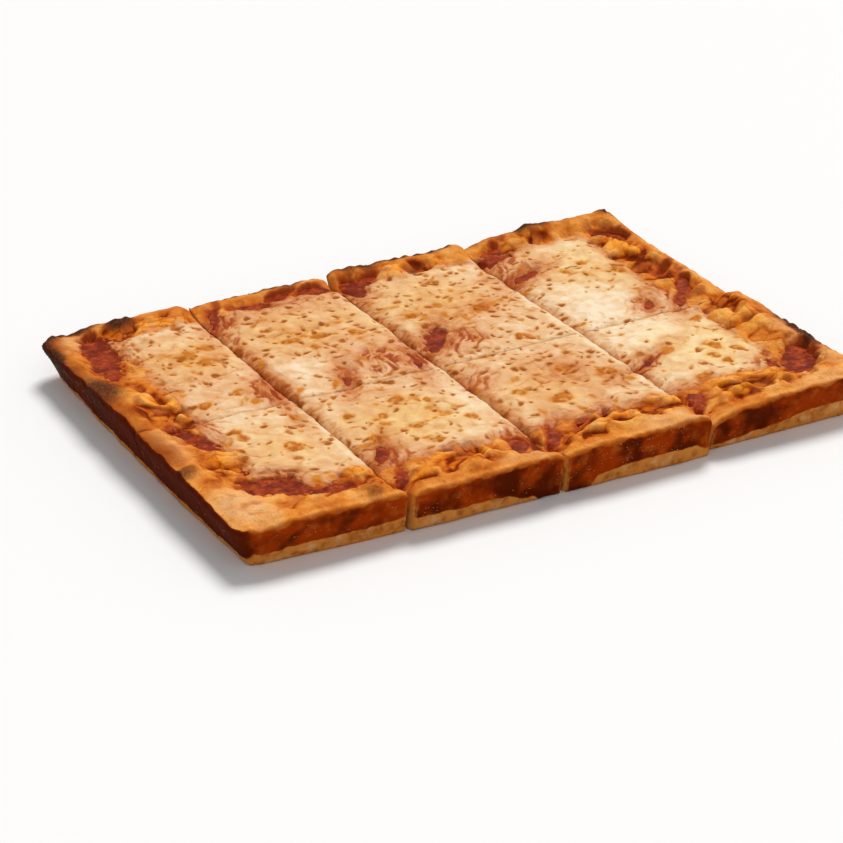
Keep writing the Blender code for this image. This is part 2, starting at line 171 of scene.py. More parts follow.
STAINED = metres((
    (98, 170, 12, 20, 0, 0.75), (183, 176, 24, 22, 0, 0.7), (150, 166, 12, 14, 0, 0.55),
    (180, 200, 22, 14, 0, 0.35), (270, 212, 18, 12, 0, 0.6), (218, 120, 12, 22, 0, 0.65),
    (272, 108, 22, 26, 0, 0.4), (240, 176, 22, 14, 30, 0.6), (370, 164, 12, 10, 40, 0.5),
    (405, 185, 18, 30, 0, 0.55), (408, 262, 16, 30, 0, 0.5), (330, 38, 20, 16, 30, 0.65),
    (128, 52, 18, 18, 40, 0.45), (130, 274, 22, 16, 0, 0.45), (180, 274, 30, 14, 0, 0.4),
    (40, 150, 12, 14, 0, 0.5), (228, 34, 18, 16, 0, 0.6), (396, 60, 18, 14, 20, 0.45),
    (332, 262, 16, 30, 0, 0.4), (165, 138, 40, 12, 0, 0.22),
))
GOLDEN = metres((
    (70, 232, 34, 26, 0, 0.7), (145, 236, 30, 28, 20, 0.75), (190, 236, 20, 30, 0, 0.5),
    (250, 238, 36, 32, 0, 0.75), (372, 240, 36, 36, 0, 0.7), (152, 92, 34, 28, 0, 0.9),
    (70, 92, 26, 30, 0, 0.6), (250, 90, 30, 30, 0, 0.6), (368, 96, 40, 36, 0, 0.75),
))
TANNED = metres((
    (76, 215, 44, 66, 0, 0.9), (76, 96, 40, 60, 0, 0.4), (158, 232, 52, 50, 0, 0.8),
    (260, 220, 50, 60, 0, 0.6), (262, 100, 46, 44, 0, 0.75), (160, 130, 46, 20, 0, 0.55),
    (392, 180, 20, 50, 0, 0.5), (330, 285, 30, 20, 0, 0.5),
))
MILKY = metres((
    (80, 112, 22, 46, 0, 0.25), (352, 118, 36, 36, 0, 0.95), (370, 88, 34, 32, 0, 0.6),
    (372, 262, 30, 24, 0, 0.5), (196, 120, 10, 60, 0, 0.45), (85, 262, 18, 18, 0, 0.25),
    (340, 184, 26, 30, 0, 0.95), (126, 184, 18, 18, 0, 0.75), (75, 140, 30, 14, 0, 0.25),
    (298, 266, 16, 12, 0, 0.6), (334, 128, 22, 18, 0, 0.6), (226, 100, 10, 12, 0, 0.5),
    (130, 46, 14, 10, 0, 0.5), (395, 168, 14, 12, 0, 0.5), (260, 62, 30, 8, 0, 0.45),
))
CHARRED = metres((
    (56, 301, 8, 6, 0, 1.0), (4, 213, 13, 18, 0, 0.66), (5, 86, 6, 6, 0, 0.45), (429, 305, 9, 8, 0, 1.0),
    (260, 309, 52, 5, 0, 0.85), (364, 306, 13, 6, 0, 0.8), (90, 12, 6, 6, 0, 0.35),
    (430, 78, 5, 26, 0, 0.85), (10, 309, 32, 5, 0, 0.9), (1, 288, 5, 34, 0, 0.9),
    (152, 309, 40, 3.5, 0, 0.6),
))
FLOURY = metres((
    (18, 34, 14, 22, 0, 0.85), (18, 292, 16, 10, 20, 0.6), (12, 120, 8, 22, 0, 0.4),
    (190, 10, 18, 6, 0, 0.45), (290, 8, 22, 7, 0, 0.55), (405, 12, 24, 8, 0, 0.4),
    (422, 60, 6, 40, 0, 0.45),
))
# Where the cheese's border is ragged, and where its threads cross a pool
RAGGED = metres((
    (42, 262, 14, 32, 0, 1.0), (398, 50, 12, 18, 0, 0.7), (400, 262, 12, 22, 0, 0.7),
))
THREADED = metres((
    (400, 48, 14, 18, 0, 1.0), (404, 262, 10, 16, 0, 1.0), (405, 180, 10, 14, 0, 0.9),
    (246, 44, 20, 10, 0, 0.8),
))
# Large blisters of the cheese: middle, radius, and how browned they are
BLISTERS = metres((
    (74, 238, 6, 0.6), (90, 243, 5.5, 0.55), (80, 222, 6, 0.45), (55, 168, 4.5, 0.7), (80, 174, 4, 0.65),
    (140, 224, 5.5, 0.6), (160, 224, 4.5, 0.5), (183, 218, 5, 0.65), (150, 209, 4, 0.75),
    (226, 224, 5, 0.4), (272, 210, 6, 0.8), (275, 161, 5, 0.7), (368, 244, 4.5, 0.6), (382, 221, 5, 0.6),
    (394, 216, 4, 0.65), (78, 91, 5.8, 0.85), (55, 124, 4.5, 0.7), (55, 116, 3.5, 0.65),
    (96, 129, 4.5, 0.5), (104, 96, 3, 0.5), (124, 114, 4.2, 0.75), (160, 118, 5.2, 0.85),
    (142, 104, 4.2, 0.75), (154, 82, 4.5, 0.9), (189, 76, 4.8, 0.6), (156, 58, 4.8, 0.75),
    (176, 108, 3.6, 0.55), (124, 80, 4, 0.6), (249, 71, 6.2, 0.8), (292, 91, 6.8, 0.75),
    (272, 107, 5, 0.75), (230, 90, 4.2, 0.5), (372, 89, 5, 0.6), (362, 78, 4.2, 0.6), (367, 69, 4, 0.55),
    (384, 79, 4, 0.55), (342, 56, 4.6, 0.45), (344, 100, 3.6, 0.4), (384, 131, 5, 0.4),
    (352, 236, 5, 0.4),
), 3)

# Spots of the cheese
SPOT_COUNT = 1700
SPOT_SIZES = (0.0011, 0.0031)
SPOT_DEPTH = 0.0005

# Finishes, as colours that the surface reflects
CHEESE_TONES = (
    (0.0, (0.24, 0.052, 0.008)),
    (0.15, (0.4, 0.118, 0.02)),
    (0.35, (0.64, 0.295, 0.1)),
    (0.55, (0.755, 0.44, 0.212)),
    (0.75, (0.825, 0.565, 0.32)),
    (1.0, (0.895, 0.735, 0.53)),
)
CRUST_TONES = (
    (0.0, (0.16, 0.018, 0.002)),
    (0.15, (0.31, 0.045, 0.004)),
    (0.35, (0.51, 0.12, 0.013)),
    (0.55, (0.68, 0.21, 0.03)),
    (0.75, (0.8, 0.315, 0.065)),
    (1.0, (0.88, 0.44, 0.13)),
)
MOTTLE = (0.62, 0.255, 0.07)
MILK = (0.87, 0.59, 0.31)
GOLDEN_GLAZE = (1.02, 0.94, 0.58)
PINK_GLAZE = (0.94, 0.74, 0.7)
AMBER_GLAZE = (1.02, 0.86, 0.36)
SAUCE_STAIN = (0.36, 0.055, 0.012)
TOAST_BROWN = (0.42, 0.085, 0.008)
BLUSH = (0.5, 0.13, 0.03)
BLISTER_ORANGE = (0.6, 0.19, 0.012)
SAUCE_RED = (0.29, 0.028, 0.004)
SAUCE_BRIGHT = (0.4, 0.065, 0.011)
SAUCE_DARK = (0.12, 0.007, 0.0015)
CRUST_FLOUR = (0.8, 0.5, 0.24)
CRUST_BROWN = (0.34, 0.07, 0.008)
# A near-black brown for random dark patches on the crust's side, and for its painted shade
CRUST_DARK_AND_SHADE = (0.05, 0.0045, 0.0006)
CRUST_RED = (0.33, 0.034, 0.001)
WALL_BROWN = (0.42, 0.105, 0.014)
CRUST_FOOT = (0.62, 0.23, 0.042)
CHAR = (0.045, 0.018, 0.01)
SOOT = (0.11, 0.055, 0.03)
CRUMB = (0.6, 0.3, 0.09)
# The paler colour of the small blisters on the crust's side, partly a painted highlight
FLECK_AND_GLINT = (0.36, 0.15, 0.06)
WARM_SHEEN = (1.0, 0.68, 0.34)  # tint of the mirror light

# Mesh spacing
PLAN_STEP = 0.0005
PLAN_MARGIN = 0.006
CRUST_STEP = 0.00075
CHEESE_STEP = 0.00064
SAUCE_STEP = 0.0014
# Heights over which the pale foot of the side gives way to the colour of the top
FOOT_ENDS = (0.019, 0.015)
WALL_LEVELS = (0.97, 0.93, 0.88, 0.83, 0.78, 0.73, 0.68, 0.63, 0.58, 0.53, 0.48, 0.43)
FOOT_LEVELS = (0.38, 0.33, 0.28, 0.23, 0.18, 0.13, 0.09, 0.06, 0.03, 0.012, 0.0)
FOOT_ROUND = 0.0026
SCATTER_STEP = 0.002
STRIP_REACH = 0.003
STRIP = (1.0, 0.96, 0.9, 0.8, 0.7, 0.6, 0.5, 0.4, 0.3, 0.2)

# Blisters and crumbs that are scattered on the crust's outside
SCATTER_INPUTS = ("Density", "Smallest", "Largest", "Flatness", "Roughening")
BLISTER_SIZES = (70000.0, 0.0002, 0.0006, 0.3, 0.0)
CRUMB_SIZES = (1200000.0, 0.0002, 0.0008, 0.8, 0.0005)

# Floor and light: each sun's direction, spread in degrees, strength and colour
FLOOR_SIZE = 12.0
FLOOR_GREY = 0.86
SKY_STRENGTH = 0.34
KEY_LIGHT = ((0.9, 0.9, 1.8), 24.0, 2.66, (1.0, 0.985, 0.96))
FILL_LIGHT = ((-0.6, -1.6, 1.3), 60.0, 0.55, (1.0, 0.99, 0.97))

# Camera
LENS = 117.4
SENSOR = 36.0
CAMERA_PLACE = (-0.756, -1.3647, 0.7536)
CAMERA_TURN = (63.646, 0.277, -28.506)


# Noise and masks on the plan

def ease(share):
    """A soft step from 0 to 1."""
    share = np.clip(share, 0.0, 1.0)
    return share * share * (3.0 - 2.0 * share)


def along(rows, place):
    """The value of a table at each place, eased between its rows."""
    places = np.array([row[0] for row in rows])
    values = np.array([row[1] for row in rows])
    index = np.clip(np.searchsorted(places, place, side="right") - 1, 0, len(rows) - 2)
    share = ease((place - places[index]) / (places[index + 1] - places[index]))
    return values[index] + (values[index + 1] - values[index]) * share


def noise(x, y, size, seed):
    """Soft lumps from -1 to 1, of a given size."""
    turns = np.random.default_rng(seed).uniform(0.0, math.tau, (256, 256))
    u = x / size + 61.3
    v = y / size + 47.9
    i = np.floor(u).astype(int)
    j = np.floor(v).astype(int)
    u = u - i
    v = v - j

    def corner(step_i, step_j):
        turn = turns[(i + step_i) % 256, (j + step_j) % 256]
        return np.cos(turn) * (u - step_i) + np.sin(turn) * (v - step_j)

    low = corner(0, 0) + (corner(1, 0) - corner(0, 0)) * ease(u)
    high = corner(0, 1) + (corner(1, 1) - corner(0, 1)) * ease(u)
    return 1.5 * (low + (high - low) * ease(v))


def cells(x, y, size, seed):
    """Distances to the nearest and the next of scattered points, as shares of their spacing, and a tint."""
    draw = np.random.default_rng(seed)
    jitter_x, jitter_y, tint = draw.random((3, 256, 256))
    u = x / size + 61.3
    v = y / size + 47.9
    i = np.floor(u).astype(int)
    j = np.floor(v).astype(int)
    nearest = np.full_like(u, 9.0)
    second = np.full_like(u, 9.0)
    own = np.zeros_like(u)
    for step_i in (-1, 0, 1):
        for step_j in (-1, 0, 1):
            a = (i + step_i) % 256
            b = (j + step_j) % 256
            away = np.hypot(i + step_i + jitter_x[a, b] - u, j + step_j + jitter_y[a, b] - v)
            closer = away < nearest
            second = np.where(closer, nearest, np.minimum(second, away))
            own = np.where(closer, tint[a, b], own)
            nearest = np.where(closer, away, nearest)
    return nearest, second, own


def rough(x, y, size, seed, octaves=3):
    """Lumps with finer lumps on them."""
    total = 0.0
    for octave in range(octaves):
        total = total + noise(x, y, size / 2**octave, seed + 31 * octave) / 2**octave
    return total / 1.6


def oval(x, y, middle_x, middle_y, half_long, half_wide, turn):
    """Distance from an oval's middle, as a share of its radius."""
    turn = math.radians(turn)
    u = ((x - middle_x) * math.cos(turn) + (y - middle_y) * math.sin(turn)) / half_long
    v = ((y - middle_y) * math.cos(turn) - (x - middle_x) * math.sin(turn)) / half_wide
    return np.hypot(u, v)


def rolled(share):
    """The drop of a rounded edge: 1 at the edge, 0 from one width in."""
    share = np.clip(share, 0.0, 1.0)
    return 1 - np.sqrt(np.clip(1 - (1 - share) ** 2, 0.0, 1.0))


def patches(rows, soft=0.45):
    """A mask from a table of ovals, with uneven borders."""
    mask = np.zeros_like(X)
    for middle_x, middle_y, half_long, half_wide, turn, strength in rows:
        away = oval(WARP_X, WARP_Y, middle_x, middle_y, half_long, half_wide, turn)
        mask = np.maximum(mask, strength * ease((1 + soft - away) / (2 * soft)))
    return mask


def rim_line(side, place):
    """Where the crust ends and where the cheese starts, as distances from a side's outer edge."""
    crust = RIM_WIDTH[side] + 0.0025 * noise(place, place * 0 + len(side) * 0.01, 0.022, 5)
    cheese = crust - CHEESE_OVERLAP
    for middle, half, crust_end, cheese_start in SAUCE_POOLS[side]:
        inside = ease((1.7 - abs(place - middle) / half) / 0.6)
        crust = crust + (crust_end - crust) * inside
        cheese = cheese + (cheese_start - cheese) * inside
    return crust, cheese


plan_x = np.arange(-PLAN_MARGIN, LENGTH + PLAN_MARGIN, PLAN_STEP)
plan_y = np.arange(-PLAN_MARGIN, WIDTH + PLAN_MARGIN, PLAN_STEP)
X, Y = np.meshgrid(plan_x, plan_y)
WARP_X = X + 0.003 * noise(X, Y, 0.014, 1) + 0.0012 * noise(X, Y, 0.005, 2)
WARP_Y = Y + 0.003 * noise(X, Y, 0.014, 3) + 0.0012 * noise(X, Y, 0.005, 4)


def read(field, x, y):
    """The value of a field of the plan at any position."""
    u = np.clip((x - plan_x[0]) / PLAN_STEP, 0, len(plan_x) - 1.001)
    v = np.clip((y - plan_y[0]) / PLAN_STEP, 0, len(plan_y) - 1.001)
    i = u.astype(int)
    j = v.astype(int)
    u = u - i
    v = v - j
    if field.ndim == 3:
        u = u[..., None]
        v = v[..., None]
    low = field[j, i] * (1 - u) + field[j, i + 1] * u
    high = field[j + 1, i] * (1 - u) + field[j + 1, i + 1] * u
    return low * (1 - v) + high * v


def cut_place(index, y):
    return CUTS_ACROSS[index] + CUT_TURN * (y - MIDDLE_CUT)


def side_distances():
    """Distance from each side's outer edge, over the plan."""
    front = np.where(X < cut_place(0, Y), SET_BACK["front_1"], 0.0)
    front = np.where(X > cut_place(2, Y), SET_BACK["front_4"], front)
    right = LENGTH - np.where(Y > MIDDLE_CUT, SET_IN["back_4"], 0.0)
    return {"front": Y - front, "back": WIDTH - Y, "left": X, "right": right - X}


def cut_distances():
    """Distance from the middle cut, and signed distance from the nearest cut across, over the plan."""
    across = X - cut_place(0, Y)
    for index in range(1, len(CUTS_ACROSS)):
        other = X - cut_place(index, Y)
        across = np.where(np.abs(other) < np.abs(across), other, across)
    return np.abs(Y - MIDDLE_CUT), across


def stamp(middle_x, middle_y, half_long, half_wide, turn):
    """The part of the plan round a spot, and the distance from its middle there."""
    reach = 2.6 * half_long + 0.001
    i0, i1 = np.searchsorted(plan_x, (middle_x - reach, middle_x + reach))
    j0, j1 = np.searchsorted(plan_y, (middle_y - reach, middle_y + reach))
    part = (slice(j0, j1), slice(i0, i1))
    return part, oval(WARP_X[part], WARP_Y[part], middle_x, middle_y, half_long, half_wide, turn)


def deepen(field, part, values):
    """Raises part of a field to some values, where they are higher."""
    field[part] = np.maximum(field[part], values)


def spot_masks(cheese, plain):
    """Brown spots, orange spots, the halo round both, and their dents in the cheese."""
    brown = np.zeros_like(X)
    orange = np.zeros_like(X)
    halo = np.zeros_like(X)
    dents = np.zeros_like(X)
    draw = np.random.default_rng(7)
    for _ in range(SPOT_COUNT):
        middle_x = draw.uniform(0.01, LENGTH - 0.01)
        middle_y = draw.uniform(0.01, WIDTH - 0.01)
        size = SPOT_SIZES[0] + (SPOT_SIZES[1] - SPOT_SIZES[0]) * draw.random() ** 1.3
        aspect = draw.uniform(0.45, 1.0)
        turn = draw.uniform(0, 180)
        tint = draw.uniform(0.6, 1.0)
        warm = draw.random() < 0.24
        skip = draw.random()
        here = (np.array([middle_x]), np.array([middle_y]))
        if read(cheese, *here)[0] < 0.002 or skip < 0.8 * read(plain, *here)[0]:
            continue
        part, share = stamp(middle_x, middle_y, size, size * aspect, turn)
        core = ease((1.38 - share) / 0.9)
        deepen(orange if warm else brown, part, tint * core)
        deepen(halo, part, (0.25 + 0.45 * warm) * ease((2.1 - share) / 1.1))
        deepen(dents, part, SPOT_DEPTH * min(1.0, size / 0.0015) * core)
    for middle_x, middle_y, radius, browned in BLISTERS:
        part, share = stamp(middle_x, middle_y, radius, radius * 0.85, draw.uniform(0, 180))
        patchy = ease(noise(X[part], Y[part], 0.003, 36) + 0.7)
        ring = np.exp(-(((share - 0.8) / 0.26) ** 2))
        core = ease((1.15 - share) / 0.5)
        deepen(orange, part, ease((1.35 - share) / 0.9) * (0.35 + 0.65 * patchy))
        deepen(brown, part, browned * patchy * (0.55 * ring + 0.35 * core))
        deepen(halo, part, 0.8 * ease((1.9 - share) / 0.9))
        dents[part] = dents[part] - 0.0007 * core + 0.0006 * ring
    return brown, orange, halo, dents


class Paint:
    """A colour for each place of the plan, in layers over tones that run from dark to light."""

    def __init__(self, tones, level):
        levels = [row[0] for row in tones]
        parts = [np.interp(level, levels, [row[1][part] for row in tones]) for part in range(3)]
        self.colour = np.stack(parts, axis=-1)

    def lay(self, colour, share):
        """Covers what is there, by a share."""
        share = np.clip(share, 0, 1)[..., None]
        self.colour = self.colour + (np.array(colour) - self.colour) * share

    def glaze(self, colour, share):
        """Tints what is there, by a share."""
        share = np.clip(share, 0, 1)[..., None]
        self.colour = self.colour * (1 + (np.array(colour) - 1) * share)


# Heights and colours on the plan

class Plan:
    """What the steps of the plan share: distances, heights and colours, each over the whole plan."""


def measure(plan):
    """Distances from the sides and the cuts, how the tops roll into the cuts, and the colours' grain."""
    plan.away = side_distances()
    plan.places = {"front": X, "back": X, "left": Y, "right": Y}
    plan.edge = np.minimum.reduce(list(plan.away.values()))
    to_middle, plan.across = cut_distances()
    plan.to_cut = np.minimum(to_middle, np.abs(plan.across))
    uneven = 1 + 0.3 * noise(X, Y, 0.014, 9)
    plan.roll = MIDDLE_ROLL * rolled(to_middle / (MIDDLE_ROLL_WIDTH * uneven))
    plan.roll = np.maximum(plan.roll, CUT_ROLL * rolled(np.abs(plan.across) / (CUT_ROLL_WIDTH * uneven)))
    plan.grain = rough(WARP_X, WARP_Y, 0.0065, 51)
    plan.fine = rough(X, Y, 0.0022, 52)
    plan.wide = rough(WARP_X, WARP_Y, 0.013, 53)


def lay_borders(plan):
    """Borders of the pocket and of the cheese: distances inside them, opened up by the pools."""
    plan.widths = {}
    for side in plan.away:
        plan.widths[side] = RIM_WIDTH[side] + 0.0035 * noise(plan.places[side], 0.01 * len(side), 0.024, 5)
    inner = np.minimum.reduce([plan.away[side] - plan.widths[side] for side in plan.away])
    inner = inner + 0.0026 * noise(X, Y, 0.011, 11) + 0.0012 * noise(X, Y, 0.0045, 12)
    ragged = patches(RAGGED, 0.5)
    torn = 0.22 * noise(X, Y, 0.0075, 18) + (0.16 + 0.3 * ragged) * noise(X, Y, 0.0032, 19)
    plan.pool = np.full_like(X, 0.05)
    for middle_x, middle_y, half_long, half_wide, turn in POOLS:
        share = oval(WARP_X, WARP_Y, middle_x, middle_y, half_long, half_wide, turn) + torn
        plan.pool = np.minimum(plan.pool, (share - 1) * half_wide)
    plan.pocket = np.maximum(inner, 0.0008 - plan.pool)
    plan.on_cheese = inner + CHEESE_OVERLAP
    plan.cheese = np.minimum(plan.on_cheese, plan.pool)
    threads = 0.00045 - 0.006 * np.abs(noise(WARP_X, WARP_Y, 0.011, 16))
    threads = threads - 0.004 * (1 - patches(THREADED, 0.4))
    speck, _, tint = cells(X, Y, 0.0065, 17)
    specks = 0.0006 * (0.4 + tint) - 0.0065 * speck - 0.004 * (tint < 0.55)
    in_pool = np.maximum(plan.cheese, np.maximum(threads, specks))
    plan.cheese = np.where(plan.pool < -0.0006, in_pool, plan.cheese)
    plan.by_pool = ease((0.006 - plan.pool) / 0.0065)
    plan.pool_near = plan.by_pool * ease(1 - plan.cheese / 0.01)
    plan.toasted = patches(TOASTED)
    plan.floury = patches(FLOURY, 0.6)


def fold_rim(plan):
    """Folds and bubbles of the browned rim, which run on into the border of the cheese."""
    bend_x = X + 0.0075 * noise(X, Y, 0.026, 20) + 0.0022 * noise(X, Y, 0.008, 28)
    bend_y = Y + 0.0075 * noise(X, Y, 0.026, 21) + 0.0022 * noise(X, Y, 0.008, 29)
    swirl = noise(bend_x, bend_y, LUMP_SIZE, 25) + 0.3 * noise(bend_x, bend_y, 0.45 * LUMP_SIZE, 30)
    plan.bubble = ease(0.5 + swirl / 0.8)
    near, after, plan.tint = cells(bend_x, bend_y, SMALL_LUMP_SIZE, 26)
    plan.dome = 1 - (near / after) ** 2
    plan.band = ease((plan.edge - 0.006) / 0.01) * ease((0.011 - plan.on_cheese) / 0.01)
    plan.band = plan.band * (1 - 0.85 * plan.by_pool)
    plan.lumpy = plan.band * np.clip(0.4 + 1.1 * plan.toasted - 0.6 * plan.floury, 0, 1)
    plan.lumps = LUMP_HEIGHT * (plan.bubble - 0.5) + SMALL_LUMP_HEIGHT * (plan.dome - 0.6)
    # Painted shade in the creases between the folds, with their browner colour: the rim's colour is
    # darkened by this mask
    plan.crease = np.exp(-(((swirl + 0.2) / 0.13) ** 2))
    plan.crease = np.maximum(plan.crease, 0.45 * ease((0.34 - plan.dome) / 0.32))
    plan.crease = plan.lumpy * plan.crease * (0.3 + 0.7 * ease(noise(X, Y, 0.012, 27) + 0.6))


def raise_crust(plan):
    """The height of the crust's top."""
    weights = {side: np.exp(-np.clip(plan.away[side], 0, 1) / SIDE_BLEND) for side in plan.away}
    crest = sum(weights[side] * along(RIM_HEIGHTS[side], plan.places[side]) for side in plan.away)
    crest = crest / sum(weights.values())
    falls = []
    for side in plan.away:
        start = np.minimum(RIM_RISE, 0.3 * plan.widths[side])
        falls.append(ease((plan.away[side] - start) / (plan.widths[side] - start)))
    fall = np.minimum.reduce(falls)
    plan.ground = crest - EDGE_DROP * (1 - ease(plan.edge / RIM_RISE))
    plan.ground = plan.ground + (CHEESE_TOP - plan.ground) * fall
    by_sauce = ease((0.008 - plan.pool) / 0.0085) * ease((plan.edge - 0.003) / 0.011)
    plan.ground = plan.ground + (SAUCE_TOP + POCKET_LIP - plan.ground) * by_sauce
    plan.swell = np.zeros_like(X)
    for middle_x, middle_y, radius, height in RIM_BLISTERS:
        share = oval(WARP_X, WARP_Y, middle_x, middle_y, radius, radius, 0)
        plan.swell = plan.swell + height * np.exp(-1.8 * share**2)
    plan.charred = patches(CHARRED, 0.6)
    plan.ground = plan.ground + plan.swell + plan.lumpy * plan.lumps - plan.roll
    frill = 0.0016 * plan.charred * ease((0.01 - plan.edge) / 0.006)
    plan.ground = plan.ground + frill * noise(X, Y, 0.005, 65)
    plan.ground = plan.ground + 0.0016 * rough(X, Y, 0.02, 23) + 0.0007 * rough(X, Y, 0.0075, 24)
    plan.crust = plan.ground + (DOUGH_FLOOR - plan.ground) * ease(plan.pocket / 0.003)
    rim_round = np.clip(1 - plan.edge / EDGE_ROUND, 0, 1)
    plan.crust = plan.crust - EDGE_ROUND * (1 - np.sqrt(1 - 0.98 * rim_round**2))
    over = np.maximum(plan.crust - TALLEST, 0)
    plan.crust = plan.crust - over + 0.0008 * (1 - np.exp(-over / 0.0008))


def spread_cheese(plan):
    """The height of the cheese, and the marks that its colour needs too."""
    plan.near_border = ease(1 - plan.cheese / 0.013)
    plan.near_cut = ease(1 - plan.to_cut / 0.014)
    top = CHEESE_TOP + 0.0012 * ease(plan.to_cut / 0.03)
    top = top + 0.0009 * noise(X, Y, 0.02, 31) + 0.00095 * rough(X, Y, 0.01, 32)
    plan.fold = np.sin(math.tau * (plan.cheese / 0.0036) + 3.5 * noise(X, Y, 0.014, 33))
    top = top + 0.00035 * plan.fold * plan.near_border
    plan.flow = rough(X * 0.45 + Y * 0.9, Y * 0.45 - X * 0.9, 0.0032, 34)
    top = top + 0.00034 * plan.flow * plan.near_cut - 0.0012 * plan.pool_near
    plan.streaks = np.zeros_like(X)
    for middle_x, middle_y, half_long, half_wide, turn, strength in STREAKED:
        part, share = stamp(middle_x, middle_y, half_long, half_wide, turn)
        angle = math.radians(turn)
        u = WARP_X[part] * math.cos(angle) + WARP_Y[part] * math.sin(angle)
        v = WARP_Y[part] * math.cos(angle) - WARP_X[part] * math.sin(angle)
        fingers = noise(u / 4.5, v, 0.0036, 38) + 0.5 * noise(u / 3.0, v, 0.0017, 39)
        deepen(plan.streaks, part, strength * ease((1.25 - share) / 0.7) * ease(0.42 + 1.3 * fingers))
    plan.wrinkles = np.exp(-((noise(WARP_X, 1.7 * WARP_Y, 0.019, 61) / 0.085) ** 2))
    plan.wrinkles = plan.wrinkles * ease(noise(X, Y, 0.017, 62) + 0.4)
    top = top - 0.0007 * plan.streaks - 0.0004 * plan.wrinkles
    # Plain cheese, with fewer spots, in the milky patches and on the slope just before each cut across; on
    # that slope its lighter colour is a painted highlight
    plan.plain = np.maximum(patches(MILKY, 0.6), 0.9 * ease(1 + plan.across / 0.013) * (plan.across < 0))
    plan.spots, plan.orange, plan.halo, dents = spot_masks(plan.cheese, plan.plain)
    top = top - dents + plan.lumpy * plan.lumps - 0.9 * plan.roll
    lip = 0.0022 + 0.0008 * noise(X, Y, 0.012, 35)
    round_up = np.sqrt(np.clip(1 - (1 - np.clip(plan.cheese / lip, 0, 1)) ** 2, 0, 1))
    foot = plan.ground - 0.0007
    foot = foot + (SAUCE_TOP + POOL_RISE - 0.0004 - 0.9 * plan.roll - foot) * plan.by_pool
    low = plan.ground + 0.0003
    top = low + (top - low) * np.maximum(plan.by_pool, ease(plan.cheese / 0.008))
    plan.sheet = foot + (top - foot) * round_up + np.minimum(plan.cheese, 0) * 0.9
    plan.sheet = np.maximum(plan.sheet, DOUGH_FLOOR + 0.0007)


def fill_sauce(plan):
    """The height of the sauce."""
    plan.sauce = SAUCE_TOP + POOL_RISE * ease(plan.to_cut / 0.005) - 0.9 * plan.roll
    plan.sauce = plan.sauce + 0.00035 * rough(X, Y, 0.006, 41) + 0.00016 * rough(X, Y, 0.0022, 42)


def paint_cheese(plan):
    """The colour of the cheese."""
    in_stain = patches(STAINED, 0.7)
    gold = patches(GOLDEN, 0.8)
    tanned = patches(TANNED, 0.8)
    # Painted shade on the slope just past each cut across, which is painted darker and pinker
    shaded = ease(1 - plan.across / 0.01) * (plan.across > 0) * ease(1.3 * plan.grain + 0.6)
    level = 0.74 + 0.2 * plan.wide + 0.16 * plan.grain + 0.2 * rough(X, Y, 0.0075, 54) + 0.22 * plan.plain
    level = level - 0.26 * plan.wrinkles - 0.14 * tanned - 0.08 * gold
    level = level - 0.22 * in_stain - 0.36 * shaded - 0.22 * plan.near_border
    level = level - (level - 0.06) * np.clip(plan.spots * (0.98 + 0.3 * plan.fine), 0, 1) - 0.12 * plan.halo
    paint = Paint(CHEESE_TONES, level)
    paint.glaze(GOLDEN_GLAZE, gold * (0.72 + 0.9 * plan.grain) + 0.6 * plan.halo)
    paint.glaze(PINK_GLAZE, in_stain + 0.6 * plan.near_border + 0.6 * shaded + 0.35 * tanned)
    paint.lay(BLUSH, plan.pool_near * ease(1 - plan.cheese / 0.006) * (0.55 + 0.9 * plan.grain))
    lines_near = plan.near_border * (0.6 + plan.pool_near) + 0.7 * plan.near_cut * (plan.across > 0)
    lines_near = np.clip(lines_near + 0.5 * in_stain, 0, 1)
    thin_lines = np.exp(-(((plan.fold + 0.75) / 0.28) ** 2)) * ease(noise(X, Y, 0.009, 37) + 0.55)
    thin_lines = np.maximum(ease((plan.flow - 0.2) / 0.25), 0.8 * plan.near_border * thin_lines)
    paint.lay(SAUCE_STAIN, 0.7 * lines_near * thin_lines)
    paint.lay(BLUSH, 1.2 * plan.streaks)
    paint.lay(SAUCE_STAIN, ease((plan.streaks - 0.3) / 0.45))
    paint.lay(BLISTER_ORANGE, 1.1 * plan.orange)
    paint.lay(TOAST_BROWN, 0.9 * plan.spots * ease(3 * plan.orange))
    plan.cheese_colour = paint.colour


